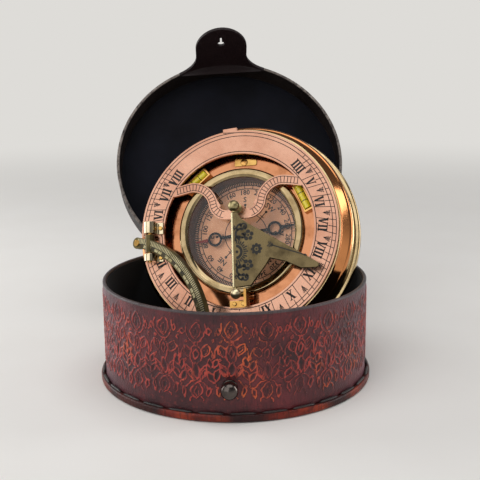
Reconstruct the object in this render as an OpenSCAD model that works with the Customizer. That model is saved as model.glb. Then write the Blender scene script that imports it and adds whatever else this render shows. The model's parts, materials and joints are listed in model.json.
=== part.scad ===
// Folding sundial compass leaning in its round leather case, whose lid stands open.
// The case stands on z = 0 with its stud towards -Y. The instrument is drawn in its own frame, with its foot
// on z = 0 and the dial's noon mark towards -Y, and instrument_placed() leans it in the case.

/* [Leather case] */
// Height of the tray wall above the table
case_h = 54.8; // [48:0.1:64]
// Free room round the instrument's foot rim inside the tray
case_room = 5.7; // [4.8:0.1:9]
// Thickness of the wall leather
leather_t = 1.9; // [1.4:0.1:2.4]
// Thickness of the suede lining
suede_t = 0.6; // [0.4:0.1:1]
// How far the welt at the bottom stands out past the wall
welt_out = 2.6; // [1.5:0.1:4]
// Thickness of the bottom with its welt
welt_t = 3.8; // [3:0.1:5]
// Thickness of the padded floor at its middle
pad_t = 4.3; // [3:0.1:6]

/* [Lid] */
// Depth of the lid's skirt below its top
skirt_h = 14.4; // [11:0.1:18]
// Room between the closed lid's skirt and the tray wall
lid_fit = 0.5; // [0.4:0.1:1]
// Thickness of the lid's top leather
lid_top_t = 2.6; // [2:0.1:3.5]
// Angle to which the lid stands open
lid_open = 125; // [110:1:140]
// Sideways set of the lid's hinge round the case, in degrees
lid_turn = 3.4; // [0:0.1:6]
// Length of the closing tab past the skirt
tab_l = 38; // [34:0.5:39]
// Width of the closing tab
tab_w = 34; // [28:0.5:38]
// Outward lean of the tab from the skirt, in degrees
tab_flare = 4; // [0:1:12]
// Radius of the fillets where the tab leaves the skirt
tab_fillet = 12; // [6:0.5:14]
// Diameter of the keyhole in the tab
keyhole_d = 4.6; // [4:0.1:6]
// Width of the leather hinge strap
strap_w = 46; // [36:1:60]

/* [Stud] */
// Diameter of the stud's ball
stud_d = 8; // [6:0.1:9]
// Diameter of the stud's neck
stud_neck_d = 4; // [3:0.1:5]
// Height of the stud above the table
stud_z = 17.5; // [14:0.5:22]

/* [Instrument body] */
// Diameter of the foot rim
foot_d = 127; // [120:0.5:132]
// Height from the foot to the top of the hour ring
ring_z = 30.5; // [29:0.1:34]
// Height of the foot rim
foot_rim_h = 4.4; // [3.6:0.1:5.4]
// Diameter of the seat that the hour ring lies on
seat_d = 114.4; // [112:0.1:116]
// Radius of the round moulding
roll_r = 2.4; // [1.8:0.1:2.8]
// Thickness of the turned wall at the seat
lip_t = 3.7; // [3:0.1:4.5]
// Depth of the deck below the ring's top
deck_drop = 8; // [7.6:0.1:9]
// Thickness of the deck plate
deck_t = 1.8; // [1.4:0.1:2.4]
// Thickness of the bottom plate
bottom_t = 2.2; // [1.8:0.1:3]

/* [Compass] */
// Inner diameter of the compass bowl
bowl_d = 62; // [58:0.2:64]
// Wall of the bowl
bowl_t = 1.8; // [1.4:0.1:2.2]
// Depth of the dial card below the ring's top
card_drop = 17.2; // [16.4:0.1:18]
// Thickness of the dial card
card_t = 0.8; // [0.6:0.1:1.2]
// Thickness of the bowl's floor
bowl_floor = 2; // [1.6:0.1:2.6]
// How far the bezel reaches out past the bowl
bezel_over = 3.2; // [2.4:0.1:4]
// Height of the bezel above the deck
bezel_h = 3; // [2.4:0.1:3.4]
// Thickness of the glass
glass_t = 1.2; // [1:0.1:1.6]
// Half length of the needle
needle_l = 29; // [25:0.1:29.6]
// Distance of the needle's ring eyes from its pivot
eye_at = 17.6; // [14:0.1:19]
// Outer radius of the ring eyes
eye_r = 4.1; // [3:0.1:4.6]
// Thickness of the needle
needle_t = 0.6; // [0.4:0.1:0.9]
// Way that the red end of the needle points, in degrees from the dial's +X
needle_turn = 186; // [150:1:220]

/* [Hour ring] */
// How far the hour ring's edge lies inside the edge of its seat
ring_inset = 0.95; // [0.5:0.05:2]
// Inner diameter of the hour ring
ring_in_d = 85.9; // [84:0.1:88]
// Thickness of the hour ring
ring_t = 2; // [1.6:0.1:2.4]
// Distance of the gnomon's foot above the ring's centre
foot_up = 11.7; // [10:0.1:13]
// Width of the curved arms
arm_w = 5.2; // [4.4:0.1:5.6]
// Room round the arc's heel in the ring's slot
slot_room = 0.5; // [0.4:0.1:1.2]
// Diameter of the ring's hinge pin
hinge_pin_d = 2.4; // [2:0.1:3]
// Radius of the ring's hinge knuckles
knuckle_r = 2.3; // [2.1:0.1:2.6]

/* [Gnomon] */
// Height of the gnomon's pivot above the ring's top
gnomon_up = 6.6; // [6:0.1:8]
// Thickness of the gnomon plate
gnomon_t = 1.6; // [1.2:0.1:2.2]
// Reach of the gnomon's tip from its pivot line
gnomon_reach = 46; // [42:0.5:48]
// Diameter of the gnomon's pivot pins
gnomon_pin_d = 1.8; // [1.4:0.1:2.2]
// Radius of the ball heads that hold the pivots
ball_r = 3.2; // [2.8:0.1:3.4]

/* [Latitude arc] */
// Radius of the arc's middle line
arc_r = 59; // [56:0.5:61]
// Width of the arc
arc_w = 6; // [5:0.1:6.6]
// Thickness of the arc
arc_t = 3.2; // [2.4:0.1:3.4]
// Height of the arc's pivot above the ring's top
arc_up = 4.4; // [4.2:0.1:5]
// Angle between the folded arc and the hour ring, in degrees
arc_rest = 22.5; // [14:0.5:28]
// Where the arc ends, in degrees round its own centre
arc_end = 80; // [60:1:82]
// Diameter of the arc's hinge pin
arc_pin_d = 2.2; // [1.8:0.1:2.6]

/* [Levelling feet] */
// Diameter of the knurled wheel of a levelling screw
wheel_d = 15; // [12:0.5:18]
// Diameter of a levelling screw
screw_d = 5; // [4:0.1:6]
// Distance of the levelling screws from the middle
feet_at = 46; // [42:0.5:48]

/* [Lean] */
// Lean of the instrument's face from lying flat, in degrees
lean = 67.8; // [64:0.1:72]
// Turn of the instrument about the case's axis, in degrees
face_turn = -15.4; // [-20:0.1:-10]
// Turn of the dial in its own plane, in degrees
dial_turn = 7.6; // [0:0.1:12]

/* [Hidden] */
$fn = 96;

// Clearances
run = 0.05;        // radial clearance of a pin in its bore
gap = 0.3;         // between faces that pass each other
lay = 0.2;         // between the hour ring and its seat
glue = 0.05;       // between the strap and the leather under it
cut = 1;           // how far a cutting tool runs past a face

// Case sizes that follow from the instrument
foot_r = foot_d / 2;
tray_in_r = foot_r + case_room;
wall_in_r = tray_in_r + suede_t;
wall_r = wall_in_r + leather_t;
welt_r = wall_r + welt_out;
floor_z = welt_t + pad_t;
skirt_in_r = wall_r + lid_fit;
skirt_r = skirt_in_r + leather_t + 0.4;
rim_z = case_h + lid_fit - skirt_h;
lid_hinge_y = skirt_r + 0.4;
lid_z = case_h + lid_fit;
strap_t = 1.8;
strap_drop = 24;
strap_fold = 0.45;  // bare leather at the fold, above and below the hinge line
strap_deg = 2 * asin(strap_w / 2 / skirt_r);
pad_edge = 1.6;
keyhole_at = 23;
backing_t = 0.7;
backing_in = 0.2;
slit_w = 1.2;
slit_l = 4;

// Where the leaning instrument touches: its foot rim stands on the pad and leans on the tray's rim at both sides
foot_centre_z = floor_z + gap + foot_r * sin(lean);
over_rim = (foot_centre_z - case_h) / sin(lean);
chord = sqrt(foot_r * foot_r - over_rim * over_rim);
lean_gap = 0.4;
back_at_rim = sqrt(pow(tray_in_r - lean_gap, 2) - chord * chord);
foot_back = back_at_rim + over_rim * cos(lean);

// Heights in the instrument's frame
seat_r = seat_d / 2;
seat_z = ring_z - ring_t - lay;
deck_z = ring_z - deck_drop;
card_z = ring_z - card_drop;
bowl_r = bowl_d / 2;
bowl_out_r = bowl_r + bowl_t;
bezel_r = bowl_out_r + bezel_over;
bowl_z = card_z - card_t - bowl_floor;
body_in_r = seat_r - lip_t;
ledge_w = 2.4;
band_r = foot_r - 2.1;
groove_r = band_r - 0.6;
groove_w = 1;
roll_z = seat_z - 11.9;
band_top = roll_z - roll_r - 1.2;
cavity_r = foot_r - 4.8;
cove_r = 9.4;
cove_z = seat_z - 1;
lug_h = 6;
glass_r = bowl_r + 1.2;
glass_z = deck_z + bezel_h - 2.2;
needle_z = card_z + 2.4;
cap_r = 2.2;
post_r = 1.3;

// Hour ring
ring_r = seat_r - ring_inset;
ring_in_r = ring_in_d / 2;
hinge_y = -(seat_r + knuckle_r + 0.4);
hinge_z = ring_z - ring_t / 2;
pin_r = hinge_pin_d / 2;
ear_w = 6;
ear_foot_z = cove_z - 4.9;
knuckle_w = 16;
ear_x = knuckle_w / 2 + 0.3;
tab_in = 39.2;
tab_half = 5.4;
lug_w = 8;
lug_out = 1.6;
lug_turn = 3;

// Curved arms: two arcs that meet smoothly
arm_c1 = [25.8, 13.6];
arm_c2 = [6, 16.4];
arm_gap = norm(arm_c1 - arm_c2);
arm_r2 = 7.8;
arm_r1 = arm_gap - arm_r2;
arm_join = atan2(arm_c2[1] - arm_c1[1], arm_c2[0] - arm_c1[0]);
arm_top = 80;
hub_r = 4.2;

// Gnomon
gnomon_z = ring_z + gnomon_up;
gnomon_pin_r = gnomon_pin_d / 2;
plate_top = foot_up - ball_r - gap;
lower_ball_r = ball_r - 0.3;
lower_ball_y = -36.4;
plate_foot = lower_ball_y + lower_ball_r + gap;
pin_in = 2.2;
bracket_wall = [tab_half - 1.4, tab_half];
bracket_top = gnomon_z - gnomon_t / 2 - gap;

// Latitude arc
arc_hinge_x = -49.7;
arc_hinge_z = ring_z + arc_up;
arc_side = 18.9;
arc_centre_y = -61.9;
arc_boss_r = 3.2;
arc_boss_x = -8.6;
arc_start = asin((arc_side + arc_boss_x) / arc_r);
arc_cross_y = arc_centre_y + sqrt(arc_r * arc_r - arc_side * arc_side);
arc_pin_r = arc_pin_d / 2;
arc_boss_y = arc_centre_y + arc_r * cos(arc_start);
slot_y = [arc_cross_y - 0.56 * arc_w - slot_room - 0.5, arc_boss_y + arc_boss_r + slot_room];
slot_in = -arc_hinge_x - arc_t / 2 - 1.4;
barrel_r = 3.3;
barrel_l = 6.6;
outer_ear_l = 4.2;
lug_l = slot_y[1] - slot_y[0] - 2 * gap;
pocket_z = deck_z - 0.2;

// Levels
level_at = bezel_r + 3.6;
level_left = 129;
level_right = 24;
vial_r = 2;
vial_l = 14;
vial_up = 2.5;

// Levelling feet
feet_deg = [90, 210, 330];
screw_r = screw_d / 2;
wheel_t = 3.2;
boss_r = screw_r + 3;
boss_h = 9;
plate_z = wheel_t + 1.6;
stem_tip = 1.2;

function arc_pts(cx, cy, r, a0, a1, n) =
  [for (i = [0:n]) [cx + r * cos(a0 + (a1 - a0) * i / n), cy + r * sin(a0 + (a1 - a0) * i / n)]];

// Leans the instrument's parts in the tray
module instrument_placed() {
  rotate([0, 0, face_turn])
    translate([0, foot_back, foot_centre_z])
      rotate([lean, 0, 0])
        rotate([0, 0, dial_turn])
          children();
}

// Swings the lid's parts, drawn closed, to where the lid stands
module lid_placed() {
  rotate([0, 0, lid_turn])
    translate([0, lid_hinge_y, rim_z])
      rotate([-lid_open, 0, 0])
        translate([0, -lid_hinge_y, -rim_z])
          children();
}

// Turns the arc's parts, drawn flat over the ring, up by their rest angle about the hinge pin
module arc_placed() {
  instrument_placed()
    translate([arc_hinge_x, 0, arc_hinge_z])
      rotate([0, -arc_rest, 0])
        children();
}

module tube(r_out, r_in, h) {
  difference() {
    cylinder(r = r_out, h = h);
    translate([0, 0, -cut]) cylinder(r = r_in, h = h + 2 * cut);
  }
}

// A cylinder of length l along +Y
module along_y(r, l) {
  rotate([-90, 0, 0]) cylinder(r = r, h = l);
}

// A cylinder of length l along +X
module along_x(r, l) {
  rotate([0, 90, 0]) cylinder(r = r, h = l);
}

// Leather case
module case_wall() {
  color("#5b2a2c")
    difference() {
      translate([0, 0, welt_t]) tube(wall_r, wall_in_r, case_h - welt_t);
      translate([0, 0, stud_z])
        rotate([90, 0, 0])
          cylinder(d = stud_neck_d, h = wall_r + cut);
    }
}

module case_bottom() {
  e = 0.8;
  color("#6a2a22")
    rotate_extrude()
      polygon(concat([[0, 0], [welt_r - e, 0]],
                     arc_pts(welt_r - e, e, e, -60, 0, 4),
                     arc_pts(welt_r - e, welt_t - e, e, 0, 90, 5),
                     [[0, welt_t]]));
}

module wall_lining() {
  color("#17161a")
    difference() {
      translate([0, 0, welt_t]) tube(wall_in_r, tray_in_r, case_h - welt_t - 1);
      translate([0, 0, stud_z])
        rotate([90, 0, 0])
          cylinder(d = stud_neck_d, h = wall_r + cut);
    }
}

// Padded floor: flat in the middle, rolled down at its edge
module floor_pad() {
  r = tray_in_r - 0.2;
  color("#17161a")
    translate([0, 0, welt_t])
      rotate_extrude()
        polygon(concat([[0, 0], [r, 0], [r, pad_t - 2 * pad_edge]],
                       arc_pts(r - pad_edge, pad_t - 2 * pad_edge, pad_edge, 15, 75, 5),
                       [[r - 3 * pad_edge, pad_t - 0.7 * pad_edge], [r - 8 * pad_edge, pad_t], [0, pad_t]]));
}

// Ball-headed stud that the tab buttons over
module closure_stud() {
  collar_h = 1.4;
  color("#3c3a3c")
    translate([0, -wall_r, stud_z])
      rotate([90, 0, 0]) {
        translate([0, 0, -leather_t - suede_t - backing_in])
          cylinder(d = stud_neck_d - 0.1, h = leather_t + suede_t + backing_in + stud_d * 0.9);
        cylinder(r1 = stud_d * 0.62, r2 = stud_d * 0.5, h = collar_h);
        translate([0, 0, collar_h + stud_d * 0.5]) sphere(d = stud_d);
      }
}

// Screw head inside the tray, bedded in the lining
module stud_backing() {
  color("#77736c")
    translate([0, backing_t + backing_in - tray_in_r, stud_z])
      rotate([90, 0, 0])
        difference() {
          cylinder(d = stud_neck_d + 4, h = backing_t);
          translate([-0.5, -stud_neck_d, -cut]) cube([1, 2 * stud_neck_d, cut + backing_t / 2]);
        }
}

// A band of leather on the case's round, from height z0 to z1, centred on the back
module strap_band(r0, z0, z1) {
  rotate([0, 0, 90 - strap_deg / 2])
    rotate_extrude(angle = strap_deg)
      translate([r0, z0]) square([strap_t, z1 - z0]);
}

module hinge_strap_tray() {
  color("#4c2226")
    rotate([0, 0, lid_turn])
      strap_band(wall_r + glue, rim_z - strap_drop, rim_z - strap_fold);
}

module hinge_strap_lid() {
  color("#4c2226")
    lid_placed() strap_band(skirt_r + glue, rim_z + strap_fold, lid_z - 1);
}

// Outline of the closing tab, drawn flat with the skirt's edge along the X axis and the tip towards -Y
module tab_outline() {
  half = tab_w / 2;
  top = 6;
  difference() {
    union() {
      translate([0, -(tab_l - half)]) circle(r = half);
      translate([-half, -(tab_l - half)]) square([tab_w, tab_l - half + top]);
      translate([-half - tab_fillet, -tab_fillet]) square([tab_w + 2 * tab_fillet, tab_fillet + top]);
    }
    for (s = [-1, 1])
      translate([s * (half + tab_fillet), -tab_fillet]) circle(r = tab_fillet);
    translate([0, -keyhole_at]) circle(d = keyhole_d);
    translate([-slit_w / 2, -keyhole_at - keyhole_d / 2 - slit_l]) square([slit_w, slit_l + keyhole_d / 2]);
  }
}

// Skirt of the lid with the closing tab, set round it so that the keyhole meets the stud when the lid is shut
module lid_skirt() {
  t = skirt_r - skirt_in_r;
  run_out = tab_l * tan(tab_flare);
  color("#4a2c2a")
    lid_placed() {
      translate([0, 0, rim_z]) tube(skirt_r, skirt_in_r, lid_z - rim_z);
      intersection() {
        translate([0, 0, rim_z])
          rotate([0, 0, 180])
            rotate_extrude(angle = 180)
              polygon([[skirt_in_r, 0], [skirt_r, 0], [skirt_r + run_out, -tab_l], [skirt_in_r + run_out, -tab_l]]);
        rotate([0, 0, -lid_turn])
          translate([0, 0, rim_z])
            rotate([90, 0, 0])
              linear_extrude(height = skirt_r + run_out + cut) tab_outline();
      }
    }
}

module lid_top() {
  e = 1;
  color("#55282a")
    lid_placed()
      translate([0, 0, lid_z])
        rotate_extrude()
          polygon(concat([[0, 0], [skirt_r, 0]], arc_pts(skirt_r - e, lid_top_t - e, e, 0, 90, 5), [[0, lid_top_t]]));
}

// Suede inside the lid: a disc under the top, a little smaller than the skirt's round
module lid_lining() {
  color("#14131a")
    lid_placed()
      translate([0, 0, lid_z - suede_t]) cylinder(r = skirt_in_r - 0.1, h = suede_t);
}

// Turned outline of the body from the foot rim up to the seat, as points
function body_outline() =
  concat([[foot_r - 1.2, 0]],
         arc_pts(foot_r - 1.2, 1.2, 1.2, -90, 0, 5),
         arc_pts(foot_r - 1.2, foot_rim_h - 1.2, 1.2, 0, 80, 5),
         [[groove_r, foot_rim_h + 0.2], [groove_r, foot_rim_h + 0.2 + groove_w],
          [band_r, foot_rim_h + 0.8 + groove_w], [band_r, band_top]],
         arc_pts(band_r - roll_r + 0.2, roll_z, roll_r, -62, 70, 12),
         arc_pts(seat_r + cove_r - 0.9, cove_z - 1.6, cove_r, 200, 170, 8),
         [[seat_r, cove_z], [seat_r, seat_z]]);

module heel_pocket() {
  translate([-foot_r, slot_y[0], pocket_z])
    cube([foot_r + arc_hinge_x + arc_t, slot_y[1] - slot_y[0], ring_z]);
}

module lug_spots() {
  for (a = [30:120:270])
    rotate([0, 0, a]) translate([cavity_r - 4.5, 0, 0]) children();
}

// Instrument body: a hollow turned shell with lugs inside for the bottom plate's screws
module base_body() {
  color("#c69a58")
    instrument_placed()
      difference() {
        union() {
          rotate_extrude()
            polygon(concat(
              [[cavity_r, 0]], body_outline(),
              [[body_in_r, seat_z], [body_in_r, deck_z - deck_t], [body_in_r - ledge_w, deck_z - deck_t],
               [body_in_r - ledge_w, deck_z - deck_t - 1.6], [cavity_r, band_top - 3]]));
          intersection() {
            lug_spots() translate([-3.5, -3.5, plate_z + bottom_t]) cube([9, 7, lug_h]);
            cylinder(r = cavity_r + 0.4, h = band_top - 3);
          }
        }
        lug_spots() cylinder(r = 1.45, h = plate_z + bottom_t + lug_h + cut);
        heel_pocket();
      }
}

module feet_placed() {
  for (a = feet_deg)
    rotate([0, 0, a]) translate([feet_at, 0, 0]) children();
}

// Bottom plate let into the foot rim, with a boss for each levelling screw
module bottom_plate() {
  color("#a88348")
    instrument_placed()
      difference() {
        union() {
          translate([0, 0, plate_z]) cylinder(r = cavity_r - 0.1, h = bottom_t);
          feet_placed() translate([0, 0, plate_z]) cylinder(r = boss_r, h = boss_h);
        }
        feet_placed() cylinder(r = screw_r + run, h = plate_z + boss_h + cut);
        lug_spots() cylinder(r = 1.5, h = plate_z + bottom_t + cut);
      }
}

// Three screws that hold the bottom plate to the lugs inside the body
module bottom_screws() {
  color("#8a6a36")
    instrument_placed()
      lug_spots()
        translate([0, 0, plate_z])
          difference() {
            union() {
              translate([0, 0, -0.9]) cylinder(r = 2.8, h = 0.9);
              cylinder(r = 1.4, h = bottom_t + lug_h - 1);
            }
            translate([-3, -0.35, -0.9 - cut]) cube([6, 0.7, cut + 0.5]);
          }
}

module deck_plate() {
  color("#d2a868")
    instrument_placed()
      difference() {
        translate([0, 0, deck_z - deck_t]) tube(body_in_r - 0.1, bowl_out_r + 0.1, deck_t);
        heel_pocket();
      }
}

// Bowl that holds the dial card, with a flange under the deck
module compass_bowl() {
  flange = 3;
  color("#b98d50")
    instrument_placed()
      difference() {
        union() {
          translate([0, 0, bowl_z]) cylinder(r = bowl_out_r, h = glass_z - bowl_z);
          translate([0, 0, deck_z - deck_t - 1.5]) cylinder(r = bowl_out_r + flange, h = 1.5);
        }
        translate([0, 0, card_z - card_t]) cylinder(r = bowl_r, h = ring_z);
        translate([0, 0, bowl_z - cut]) cylinder(r = post_r, h = ring_z);
      }
}

module dial_card() {
  color("#dfae98")
    instrument_placed()
      translate([0, 0, card_z - card_t]) tube(bowl_r - 0.1, post_r + 0.1, card_t);
}

// Post with the point that the needle's cap rests on
module pivot_post() {
  tip = needle_z + 0.9;
  color("#c9a768")
    instrument_placed()
      rotate_extrude()
        polygon([[0, bowl_z], [post_r, bowl_z], [post_r, card_z + 0.6], [0.5, card_z + 1.5], [0.25, tip - 0.4],
                 [0, tip]]);
}

module compass_glass() {
  color("#dfe8e8", 0.35)
    instrument_placed()
      translate([0, 0, glass_z]) cylinder(r = glass_r, h = glass_t);
}

// Bezel that screws down over the glass: round crest, sloping in to the glass
module bezel() {
  r = bezel_r;
  top = deck_z + bezel_h;
  color("#d9b272")
    instrument_placed()
      rotate_extrude()
        polygon(concat(
          [[bowl_out_r + 0.1, deck_z], [r, deck_z]],
          arc_pts(r - 1.7, top - 1.7, 1.7, 0, 100, 8),
          [[bowl_r + 0.4, glass_z + glass_t + 0.35], [bowl_r, glass_z + glass_t]],
          [[glass_r + 0.1, glass_z + glass_t], [glass_r + 0.1, glass_z], [bowl_out_r + 0.1, glass_z]]));
}

// Spirit levels let into the deck
module level_spot(a) {
  instrument_placed()
    rotate([0, 0, a])
      translate([level_at, 0, deck_z])
        children();
}

module level_mount() {
  half = vial_l / 2;
  difference() {
    translate([-2.9, -half - 1.4, 0]) cube([5.8, vial_l + 2.8, 3.2]);
    translate([0, -half - 0.1, vial_up]) along_y(vial_r + 0.1, vial_l + 0.2);
    translate([-1.5, -half + 1.6, vial_up]) cube([3, vial_l - 3.2, 4]);
  }
}

module level_mount_left() {
  color("#caa060") level_spot(level_left) level_mount();
}

module level_mount_right() {
  color("#caa060") level_spot(level_right) level_mount();
}

module level_vial() {
  translate([0, -vial_l / 2, vial_up]) along_y(vial_r, vial_l);
}

module level_vial_left() {
  color("#c8cf6a") level_spot(level_left) level_vial();
}

module level_vial_right() {
  color("#c8cf6a") level_spot(level_right) level_vial();
}

// Two ears screwed to the body's lip that hold the ring's hinge pin
module hinge_ears() {
  color("#b98d50")
    instrument_placed()
      difference() {
        for (s = [-1, 1])
          translate([s * (ear_x + ear_w / 2) - ear_w / 2, hinge_y, 0]) {
            translate([0, 0, hinge_z]) along_x(knuckle_r, ear_w);
            translate([0, -knuckle_r, ear_foot_z]) cube([ear_w, 2 * knuckle_r, hinge_z - ear_foot_z]);
            translate([0, 0, ear_foot_z]) cube([ear_w, 6, seat_z - ear_foot_z]);
          }
        translate([-foot_r, hinge_y, hinge_z]) along_x(pin_r, foot_d);
        cylinder(r = seat_r, h = ring_z);
      }
}

module ring_hinge_pin() {
  half = ear_x + ear_w + 0.8;
  color("#8c6c3a")
    instrument_placed()
      translate([-half, hinge_y, hinge_z]) along_x(pin_r, 2 * half);
}

// Hour ring: a flat plate with its arms, the noon tab, the thumb lug and the slot for the arc's heel
module arm() {
  half = arm_w / 2;
  n = 16;
  out = 9.5 * [sin(arm_top), -cos(arm_top)];
  end = [cos(arm_top), sin(arm_top)];
  polygon(concat([arm_c1 + (arm_r1 + half) * end + out],
                 arc_pts(arm_c1[0], arm_c1[1], arm_r1 + half, arm_top, arm_join, n),
                 arc_pts(arm_c2[0], arm_c2[1], arm_r2 - half, arm_join + 180, 270, n),
                 [[-0.2, arm_c2[1] - arm_r2 + half], [-0.2, arm_c2[1] - arm_r2 - half]],
                 arc_pts(arm_c2[0], arm_c2[1], arm_r2 + half, 270, arm_join + 180, n),
                 arc_pts(arm_c1[0], arm_c1[1], arm_r1 - half, arm_join, arm_top, n),
                 [arm_c1 + (arm_r1 - half) * end + out]));
}

module hour_ring() {
  tall = ring_t + 2 * cut;
  color("#dda28c")
    instrument_placed()
      translate([0, 0, ring_z - ring_t])
        difference() {
          union() {
            tube(ring_r, ring_in_r, ring_t);
            intersection() {
              cylinder(r = ring_in_r + 1, h = ring_t);
              union() {
                linear_extrude(height = ring_t) arm();
                linear_extrude(height = ring_t) mirror([1, 0]) arm();
                for (s = [-1, 1])
                  linear_extrude(height = ring_t)
                    polygon([[s * 9.2, 13.6], [s * 12.2, 13.2], [s * 11.2, 17.2]]);
              }
            }
            translate([0, foot_up - 1, 0]) cylinder(r = hub_r, h = ring_t);
            translate([-tab_half, -ring_in_r - 1, 0]) cube([2 * tab_half, ring_in_r + 1 - tab_in, ring_t]);
            translate([-knuckle_w / 2, hinge_y, 0]) cube([knuckle_w, -hinge_y - ring_r + 2, ring_t]);
            rotate([0, 0, lug_turn])
              translate([-lug_w / 2, ring_r - 1, 0]) cube([lug_w, lug_out + 1, ring_t]);
          }
          translate([-ring_r - cut, slot_y[0], -cut])
            cube([ring_r + cut - slot_in + 0.4, slot_y[1] - slot_y[0], tall]);
          translate([-knuckle_w / 2 - cut, hinge_y - knuckle_r, -cut])
            cube([knuckle_w + 2 * cut, 2 * knuckle_r, tall]);
        }
}

// Knuckle of the ring, a barrel with a leaf let into the plate's edge
module ring_knuckles() {
  color("#c69a58")
    instrument_placed()
      difference() {
        union() {
          translate([-knuckle_w / 2, hinge_y, hinge_z]) along_x(knuckle_r, knuckle_w);
          translate([-knuckle_w / 2, hinge_y + knuckle_r - 0.6, hinge_z - ring_t / 2])
            cube([knuckle_w, 0.6, ring_t]);
        }
        translate([-foot_r, hinge_y, hinge_z]) along_x(pin_r + run, foot_d);
      }
}

// Ball-headed post on the junction of the arms; the gnomon's upper pin runs in it
module gnomon_post() {
  color("#8f7f4c")
    instrument_placed()
      difference() {
        translate([0, foot_up, ring_z]) {
          cylinder(r = 2.9, h = 1);
          cylinder(r = 1.9, h = gnomon_up);
          translate([0, 0, gnomon_up]) sphere(r = ball_r);
        }
        translate([0, foot_up - ball_r - cut, gnomon_z]) along_y(gnomon_pin_r + run, pin_in + cut + gap);
      }
}

// Bent bracket on the noon tab, with the lower ball head on a stub
module gnomon_bracket() {
  color("#c69a58")
    instrument_placed()
      difference() {
        union() {
          translate([-tab_half + 0.4, -ring_in_r - 0.4, ring_z])
            cube([bracket_wall[1] + tab_half - 0.4, ring_in_r + 0.4 - tab_in - 0.4, 1.3]);
          translate([bracket_wall[0], -ring_in_r - 0.4, ring_z])
            cube([bracket_wall[1] - bracket_wall[0], ring_in_r + 0.4 + plate_foot - gap - 0.2, bracket_top - ring_z]);
          translate([0, lower_ball_y, bracket_top - 2.2]) along_x(1.5, bracket_wall[0] + 0.4);
          translate([0, lower_ball_y, gnomon_z]) rotate([0, 0, 180]) sphere(r = lower_ball_r);
        }
        translate([0, plate_foot - gap - pin_in - gap, gnomon_z]) along_y(gnomon_pin_r + run, pin_in + 2 * gap + cut);
      }
}

// Round-headed screws of the gnomon bracket and the arc's bracket
module bracket_screws() {
  color("#b08a50")
    instrument_placed() {
      translate([-2.2, -ring_in_r + 1.6, ring_z + 1.3]) cylinder(r = 1.1, h = 0.7);
      translate([2.6, -ring_in_r + 1.6, ring_z + 1.3]) cylinder(r = 1.1, h = 0.7);
      for (y = [slot_y[1] + 0.6 + barrel_l / 2, slot_y[0] - 0.6 - outer_ear_l / 2])
        translate([arc_hinge_x + barrel_r + 1.9, y, ring_z + 1.2]) cylinder(r = 1.2, h = 0.8);
    }
}

// Two ears on the ring, one each side of the slot, that hold the arc's pin
module arc_ear(y0, l) {
  translate([arc_hinge_x, y0, arc_hinge_z]) along_y(barrel_r, l);
  translate([arc_hinge_x - barrel_r, y0, ring_z]) cube([2 * barrel_r, l, arc_up]);
  translate([arc_hinge_x, y0, ring_z]) cube([barrel_r + 3.4, l, 1.2]);
}

module arc_bracket() {
  color("#dcb878")
    instrument_placed()
      difference() {
        union() {
          arc_ear(slot_y[1] + 0.6, barrel_l);
          arc_ear(slot_y[0] - 0.6 - outer_ear_l, outer_ear_l);
        }
        translate([arc_hinge_x, -foot_r, arc_hinge_z]) along_y(arc_pin_r, foot_d);
      }
}

module arc_pin() {
  y0 = slot_y[0] - 0.6 - outer_ear_l - 0.5;
  y1 = slot_y[1] + 0.6 + barrel_l + 0.5;
  color("#9a7a42")
    instrument_placed()
      translate([arc_hinge_x, y0, arc_hinge_z]) along_y(arc_pin_r, y1 - y0);
}

// Gnomon: a flat plate, its style edge running straight from the shoulder to the rounded tip
module gnomon_flat() {
  tip_r = 1.7;
  shoulder = [7.2, 2];
  tip = [gnomon_reach - tip_r, shoulder[1] - 0.69 * (gnomon_reach - tip_r - shoulder[0])];
  style = (tip - shoulder) / norm(tip - shoulder);
  back = [36.5, tip[1] + 0.2];
  under = (tip - back) / norm(tip - back);
  polygon(concat(
    [[-1.6, plate_top], [1.5, plate_top], [4, plate_top - 3.6], shoulder],
    arc_pts(tip[0], tip[1], tip_r, atan2(style[0], -style[1]), atan2(-under[0], under[1]), 8),
    [back + tip_r * [under[1], -under[0]], [28.3, -21], [19.6, -18.5], [17.4, -22], [13.2, -27.2],
     [8.9, plate_foot + 0.6], [2.4, plate_foot], [-1.6, plate_foot]]));
}

module gnomon_plate() {
  color("#6b6138")
    instrument_placed()
      translate([0, 0, gnomon_z - gnomon_t / 2])
        linear_extrude(height = gnomon_t) gnomon_flat();
}

// Pivot pins at both ends of the gnomon's straight edge
module gnomon_pivots() {
  color("#d9c98c")
    instrument_placed()
      for (p = [[plate_top, 1], [plate_foot, -1]])
        translate([0, p[0], gnomon_z])
          rotate([p[1] > 0 ? -90 : 90, 0, 0])
            cylinder(r = gnomon_pin_r, h = gap + pin_in);
}

// Latitude arc, drawn flat with its hinge pin on the Y axis
module arc_flat() {
  outer = arc_r + arc_w / 2;
  inner = arc_r - arc_w / 2;
  translate([-arc_side, arc_centre_y])
    polygon(concat(arc_pts(0, 0, outer, 90 - arc_start, 90 - arc_end, 48),
                   arc_pts(0, 0, inner, 90 - arc_end, 90 - arc_start, 48)));
}

module latitude_arc() {
  color("#7d7243")
    arc_placed()
      difference() {
        union() {
          translate([0, 0, -arc_t / 2]) linear_extrude(height = arc_t) arc_flat();
          translate([arc_boss_x, arc_boss_y, -arc_t / 2]) cylinder(r = arc_boss_r, h = arc_t);
          translate([0, slot_y[0] + gap, 0]) along_y(barrel_r - 0.7, lug_l);
        }
        translate([0, -foot_r, 0]) along_y(arc_pin_r + run, foot_d);
        translate([arc_boss_x, arc_boss_y, -arc_t]) cylinder(r = 1, h = 2 * arc_t);
      }
}

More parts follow.
